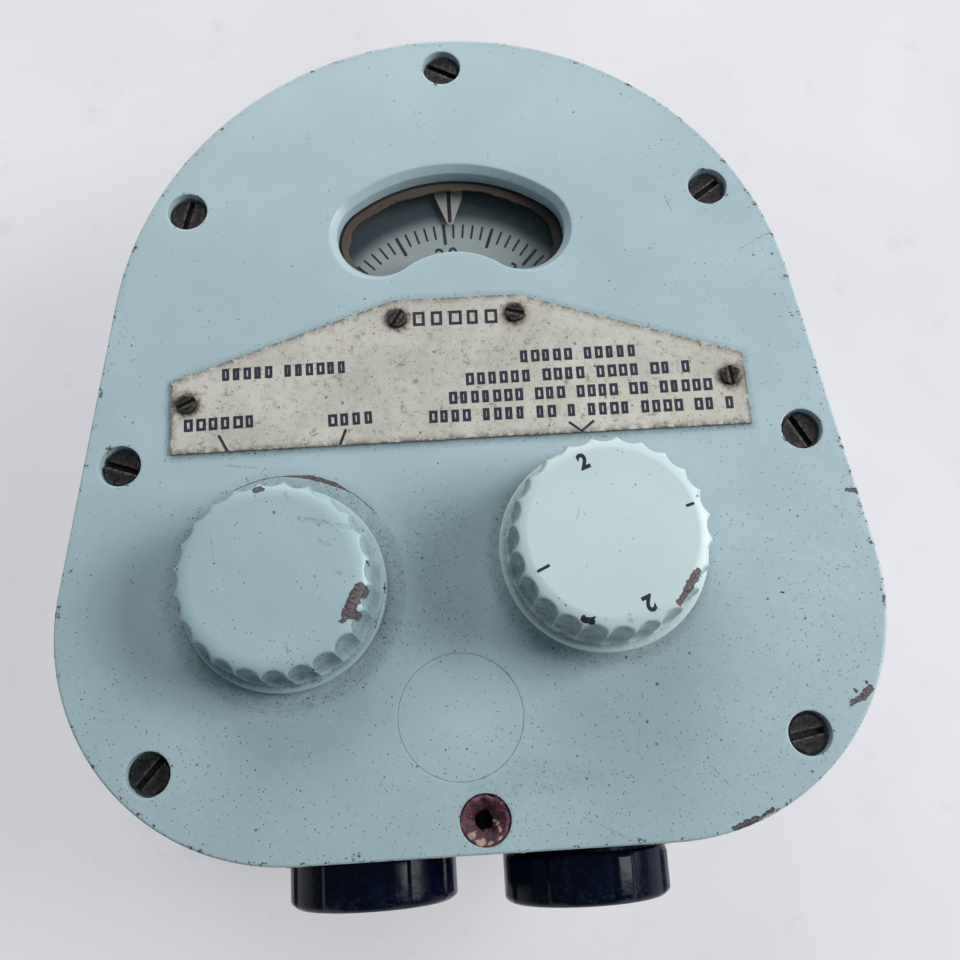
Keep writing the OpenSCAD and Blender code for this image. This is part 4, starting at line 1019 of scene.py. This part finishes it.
def numerals(texts, z, size, squeeze, bold, spacing=1.0):
    """Joins numerals of Blender's own font into one mesh. texts are (text, x, y, turn in degrees)."""
    work = bmesh.new()
    for text, x, y, turn in texts:
        curve = bpy.data.curves.new("numeral", "FONT")
        curve.body = text
        curve.size = size * MM / 0.7
        curve.align_x = "CENTER"
        curve.align_y = "CENTER"
        curve.extrude = 0.02 * MM
        curve.offset = bold * MM
        curve.space_character = spacing
        curve.resolution_u = 4
        holder = bpy.data.objects.new("numeral", curve)
        bpy.context.scene.collection.objects.link(holder)
        bpy.context.view_layer.update()
        mesh = bpy.data.meshes.new_from_object(holder.evaluated_get(bpy.context.evaluated_depsgraph_get()))
        turned = Matrix.Rotation(radians(turn), 4, "Z") @ Matrix.Diagonal((squeeze, 1, 1, 1))
        mesh.transform(Matrix.Translation(Vector((x, y, z)) * MM) @ turned)
        work.from_mesh(mesh)
        bpy.data.objects.remove(holder)
    made = bpy.data.meshes.new("numerals")
    work.to_mesh(made)
    work.free()
    return made


def dial():
    low, high = box("dial_card")
    s = Shape()
    top, bottom = s.sweep(edge(lambda d: circle(DIAL_AXIS, high.x - d, 128), high.z, low.z, 0.1, 0.1, 0, 2))
    bore = s.sweep([(lift(circle(DIAL_AXIS, 4.02), z), 0.0) for z in (high.z, low.z)])
    s.fill(top, [bore[0]])
    s.fill(bottom, [bore[1]])
    piece("printed_dial_card", s, "dial", "dial_paint", "dial_card")
    ticks = Shape()
    outer = 31.1
    for i in range(DIAL_STEPS):
        length, width = (3.5, 0.52) if i % 5 else (5.1, 0.78)
        way = heading(DIAL_FIRST - 360 * i / DIAL_STEPS)
        path = [DIAL_AXIS + way * (outer - length), DIAL_AXIS + way * (outer - 0.2)]
        ribbon(ticks, path, width, high.z - 0.01, high.z + 0.02)
    piece("dial_ticks", ticks, "dial", "dial_paint", material="dial_ink")
    texts = []
    for i in range(8):
        turn = DIAL_FIRST - 45 * i
        spot = DIAL_AXIS + heading(turn) * 22.5
        texts.append((str((20 + 10 * i) % DIAL_STEPS), spot.x, spot.y, turn - 90))
    show("dial_numerals", numerals(texts, high.z, 4.2, 0.85, 0.08, 1.25), "dial", "dial_paint",
         material="dial_ink")


# ---- knobs

def smooth_min(a, b, k):
    h = max(k - abs(a - b), 0) / k
    return min(a, b) - h * h * k / 4


def knob_profile(foot_r, height, soft):
    """(radius, height, wear, grime with painted shade, fluted) down a knob, from its top to the bottom of its
    bore.

    soft, from 0 to 1, rounds the flat top's edge away.
    """
    flat_r = 17.1 - 1.6 * soft
    face = [(8.0, height, 0.0, 0.0), (13.5, height, 0.0, 0.0), (flat_r - 0.35, height, 0.1, 0.0)]
    bend = [(flat_r, 0.0), (19.0, 0.45 - 0.45 * soft), (20.4, 1.0 + 0.3 * soft), (20.4, 3.8)]
    fluted = []
    for i in range(19):
        t = i / 18
        weights = ((1 - t) ** 3, 3 * t * (1 - t) ** 2, 3 * t * t * (1 - t), t ** 3)
        r, drop = (sum(w * spot[k] for w, spot in zip(weights, bend)) for k in (0, 1))
        fluted.append((r, height - 0.02 - drop, 0.45 - 0.25 * abs(2 * t - 1), 0.0))
    top, foot = height - 3.87, 2.9
    fluted += [(20.5, top + (foot - top) * i / 12, 0.4 - 0.2 * i / 12, 0.35 * (i / 12) ** 2)
               for i in range(1, 13)]
    ring = [(20.56, 2.62, 0.0, 0.8), (20.75, 2.46, 0.0, 0.8), (foot_r - 0.5, 2.4, 0.3, 0.3),
            (foot_r - 0.16, 2.27, 0.5, 0.0), (foot_r - 0.03, 1.98, 0.4, 0.0), (foot_r, 1.5, 0.2, 0.1),
            (foot_r, 0.4, 0.2, 0.5), (foot_r - 0.12, 0.12, 0.4, 0.8), (foot_r - 0.4, 0, 0.2, 0.8)]
    under = [(16.8, 0), (16.5, 0.3), (16.5, 7.6), (16.1, 8), (6.9, 8), (6.5, 7.6), (6.5, 3.2), (6.3, 3),
             (3.3, 3), (3.2, 3.1), (3.2, 15.2)]
    return ([(*spot, False) for spot in face] + [(*spot, True) for spot in fluted]
            + [(*spot, False) for spot in ring] + [(*spot, 0, 0, False) for spot in under])


def knob(name, node, axis, body, material, grub_turn, shaded_side, soft):
    """A fluted knob: foot ring, scooped flutes with rounded ends, crisp flat top and hollow underside."""
    low, high = box(node)
    wall_r, scoop_r, scoop_depth, scoop_low, scoop_end = 20.5, 4.1, 1.4, 2.7, 4.5
    steps = FLUTES * 14
    s = Shape()
    rings = []
    for r, z, wear, grime_and_shade, fluted in knob_profile((high.x - low.x) / 2, high.z - low.z - INK_RISE, soft):
        run_out = min(1.0, max(0.0, (z - scoop_low) / scoop_end))
        lean = max(0.0, z - 11) / 6
        depth = scoop_depth * sqrt(max(0.0, 1 - (1 - run_out) ** 2)) + 0.8 * lean ** 2
        points, wears, grime_and_shade_marks = [], [], []
        for k in range(steps):
            t = 2 * pi * k / steps
            here = r
            if fluted and depth > 0:
                phi = (t + pi / FLUTES) % (2 * pi / FLUTES) - pi / FLUTES
                centre = wall_r + scoop_r - depth
                reach = scoop_r ** 2 - (centre * sin(phi)) ** 2
                if reach > 0:
                    here = smooth_min(r, centre * cos(phi) - sqrt(reach), 0.3)
            hollow = min(1, (r - here) / 0.6)
            # Painted shade: the flutes' hollows and the foot ring darken towards the knob's shaded side, away
            # from the light, with some dirt.
            side = max(0, cos(t - radians(shaded_side)))
            points.append((axis.x + here * cos(t), axis.y + here * sin(t), low.z + z))
            wears.append(wear * (1 - hollow))
            grime_and_shade_marks.append(max(grime_and_shade * (0.4 + 0.6 * side), hollow * (0.2 + 0.8 * side)))
        rings.append((points, wears, grime_and_shade_marks))
    s.solid(rings)
    made = piece(name, s, body, "knob_paint", node, material, 50)
    tool = Shape()
    way = Matrix.Rotation(radians(grub_turn), 3, "Z")
    tool.solid([([Vector((axis.x, axis.y, low.z + 11)) + way @ Vector((x, p.x, p.y))
                  for p in circle((0, 0), 1.6, 24)], 0.0) for x in (2.5, 24)])
    cut(made, tool)


def knobs():
    # 265 and 215 are the turns of each knob's shaded side, where its painted shade falls.
    knob("fluted_switch_knob", "switch_knob", SWITCH_AXIS, "function_switch", "switch_knob_paint", 82.5,
         265, 0.55)
    knob("fluted_setting_knob", "input_knob", INPUT_AXIS, "speed_control", "input_knob_paint_painted_lighter", 97.5, 215, 0.1)
    top = box("input_knob")[1].z - INK_RISE
    bars = Shape()
    for turn, inner in ((16.0, 15.5), (-155.3, 14.5)):
        way = heading(turn)
        ribbon(bars, [INPUT_AXIS + way * inner, INPUT_AXIS + way * 16.7], 0.6, top - 0.02, top + INK_RISE)
    piece("knob_index_bars", bars, "speed_control", "knob_paint", material="knob_ink")
    texts = []
    for place, r, turn in ((108.2, 15.0, 20), (-69.1, 15.3, 202)):
        spot = INPUT_AXIS + heading(place) * r
        texts.append(("2", spot.x, spot.y, turn))
    show("knob_numerals", numerals(texts, top, 3.1, 0.9, 0.2), "speed_control", "knob_paint",
         material="knob_ink")


# ---- seal, connectors

def seal():
    """Sealing compound poured over a screw: a ragged ring with a hole down to the screw."""
    s = Shape()
    rows = 9
    steps = 96
    top = FACE - 0.35
    rings = []
    for i in range(rows + 1):
        share = i / rows
        points, marks = [], []
        for k in range(steps):
            t = 2 * pi * k / steps
            way = Vector((cos(t), sin(t)))
            outer = SEAL_WELL_R - 0.08 - 0.55 * max(0,
                                                    noise.noise(Vector((way.x * 2.2, way.y * 2.2,
                                                                        3))) + 0.1)
            inner = 1.85 + 0.25 * noise.noise(way.to_3d() * 1.6)
            r = inner + (outer - inner) * share
            z = top - 1.5 * (1 - share) ** 1.6 - 0.9 * max(0.0, share - 0.9) * 10 * 0.3
            z += 0.28 * noise.noise(Vector((way.x * r * 0.7, way.y * r * 0.7, 9)))
            points.append((SEAL_AXIS.x - 0.25 * (1 - share) + way.x * r, SEAL_AXIS.y + way.y * r, z))
            marks.append(max(0.0, share - 0.72) * 3.2)
        rings.append((points, marks))
    low = FACE - WELL_DEPTH + 1.2
    rings += [([(x, y, low) for x, y, _ in rings[i][0]], 0.0) for i in (-1, 0)]
    s.loop(rings)
    piece("red_sealing_compound", s, "unit", "seal_compound", "seal_compound", sharp=60)


def dust_cap(name, node, body):
    """A glossy cap with eight broad ribs and a bevelled closed end, along -Y."""
    low, high = box(node)
    centre = (low + high) / 2
    length = high.y - low.y
    rib_r = (high.x - low.x) / 2
    body_r, bore_r, end_t = rib_r - 0.5, 15.9, 1.9
    ribs, rib_half, rib_turn, steps = 8, 6.6, 24, 240
    profile = [(0.0, body_r - 0.3, 0.3), (0.3, body_r, 0.3), (1.2, rib_r, 0.4), (length * 0.5, rib_r, 0.2),
               (length - 2.0, rib_r, 0.8), (length - 1.35, rib_r - 0.15, 1.0),
               (length - 0.8, rib_r - 0.65, 1.0),
               (length - 0.3, body_r - 0.75, 0.9), (length, body_r - 1.3, 0.8), (length, body_r - 3.0, 0.2),
               (length, 4.0, 0.0)]
    s = Shape()
    rings = []
    for along, r, wear in profile:
        points, marks = [], []
        for k in range(steps):
            t = 360 * k / steps
            off = abs((t - rib_turn + 180 / ribs) % (360 / ribs) - 180 / ribs)
            rise = 1 - min(1, max(0, (off - rib_half + 1.2) / 2.4))
            rise = rise * rise * (3 - 2 * rise)
            here = min(r, body_r) + max(0, r - body_r) * rise
            a = radians(t)
            points.append((centre.x + here * cos(a), high.y - along, centre.z + here * sin(a)))
            marks.append(wear * (0.6 + 0.4 * rise))
        rings.append(s.ring(points, marks))
    inside = [(0.0, bore_r + 0.3), (0.3, bore_r), (length - end_t - 0.4, bore_r),
              (length - end_t, bore_r - 0.4)]
    for along, r in reversed(inside):
        rings.insert(0, s.ring([(centre.x + p.x, high.y - along, centre.z + p.y) for p in circle((0, 0), r,
                                                                                                 steps)]))
    for a, b in zip(rings, rings[1:]):
        s.bridge(a, b)
    s.cap(rings[0])
    s.cap(rings[-1])
    piece(name, s, body, "cap_plastic", node, sharp=50)


# ---- carried-over nodes

def dress_nodes():
    """Gives every CAD node that stays its material."""
    slots = {part["node"]: part["material_slot"] for part in frame["record"]["subparts"]}
    for name, node in frame["nodes"].items():
        if node.hide_render:
            continue
        node.data.materials.clear()
        # The sealed screw takes the near-black painted shade of the seal's hole.
        node.data.materials.append(MATERIALS["seal_hole_painted_shade" if name == "sealed_screw" else slots[name]])


# ---- stage

def stage():
    """A pale floor, soft light from the right and the top, and the camera."""
    g = Graph("floor")
    g.tint = g.mix(g.patches(0.3, 0.7, 0.004, 4.0, 0.6), srgb(148, 147, 150), srgb(156, 155, 158))
    smudge = g.times(g.patches(0.56, 0.75, 0.06, 5.0, 0.7), 0.10)
    g.coat(g.most(smudge, g.times(g.specks(22, 1.6, 0.12), 0.25)), srgb(90, 96, 112))
    g.set(Base_Color=g.tint, Roughness=0.85, Emission_Color=g.tint, Emission_Strength=1.45)
    mesh = bpy.data.meshes.new("floor")
    half = 3.0
    corners = [(-half, -half, 0), (half, -half, 0), (half, half, 0), (-half, half, 0)]
    mesh.from_pydata(corners, [], [(0, 1, 2, 3)])
    mesh.materials.append(MATERIALS["floor"])
    floor = bpy.data.objects.new("floor", mesh)
    floor.location.z = -0.0002
    bpy.context.scene.collection.objects.link(floor)

    scene = bpy.context.scene
    world = bpy.data.worlds.new("studio")
    world.use_nodes = True
    scene.world = world
    sky = world.node_tree.nodes["Background"].inputs
    sky["Color"].default_value = srgb(214, 232, 244)
    sky["Strength"].default_value = 0.24
    for name, energy, size, place in (("side_window", 14.5, 0.7, (1.05, 0.08, 0.80)),
                                      ("sky_light", 9.5, 0.9, (-0.15, 1.10, 0.75))):
        lamp = bpy.data.lights.new(name, "AREA")
        lamp.size, lamp.energy = size, energy
        light = bpy.data.objects.new(name, lamp)
        light.location = place
        light.rotation_mode = "QUATERNION"
        light.rotation_quaternion = (Vector(place) - Vector((0, 0, 0.06))).to_track_quat("Z", "Y")
        scene.collection.objects.link(light)

    lens = bpy.data.cameras.new("camera")
    lens.lens, lens.sensor_width = 39.03, 36.0
    lens.clip_start = 0.01
    camera = bpy.data.objects.new("camera", lens)
    camera.location = Vector((-2.473, -94.202, 291.630)) * MM
    camera.rotation_euler = [radians(a) for a in (15.110, -0.527, -3.466)]
    scene.collection.objects.link(camera)
    scene.camera = camera
    scene.view_settings.view_transform = "Standard"


def main():
    stage()
    make_materials()
    for make in (front_panel, blanking_disc, case, panel_screws, seal, legend_plate, legend_marks,
                 legend_screws,
                 window_gasket, window_glass, index_pointer, dial, knobs):
        make()
    dust_cap("ribbed_left_cap", "dust_cap_left", "cap_left")
    dust_cap("ribbed_right_cap", "dust_cap_right", "cap_right")
    dress_nodes()


main()
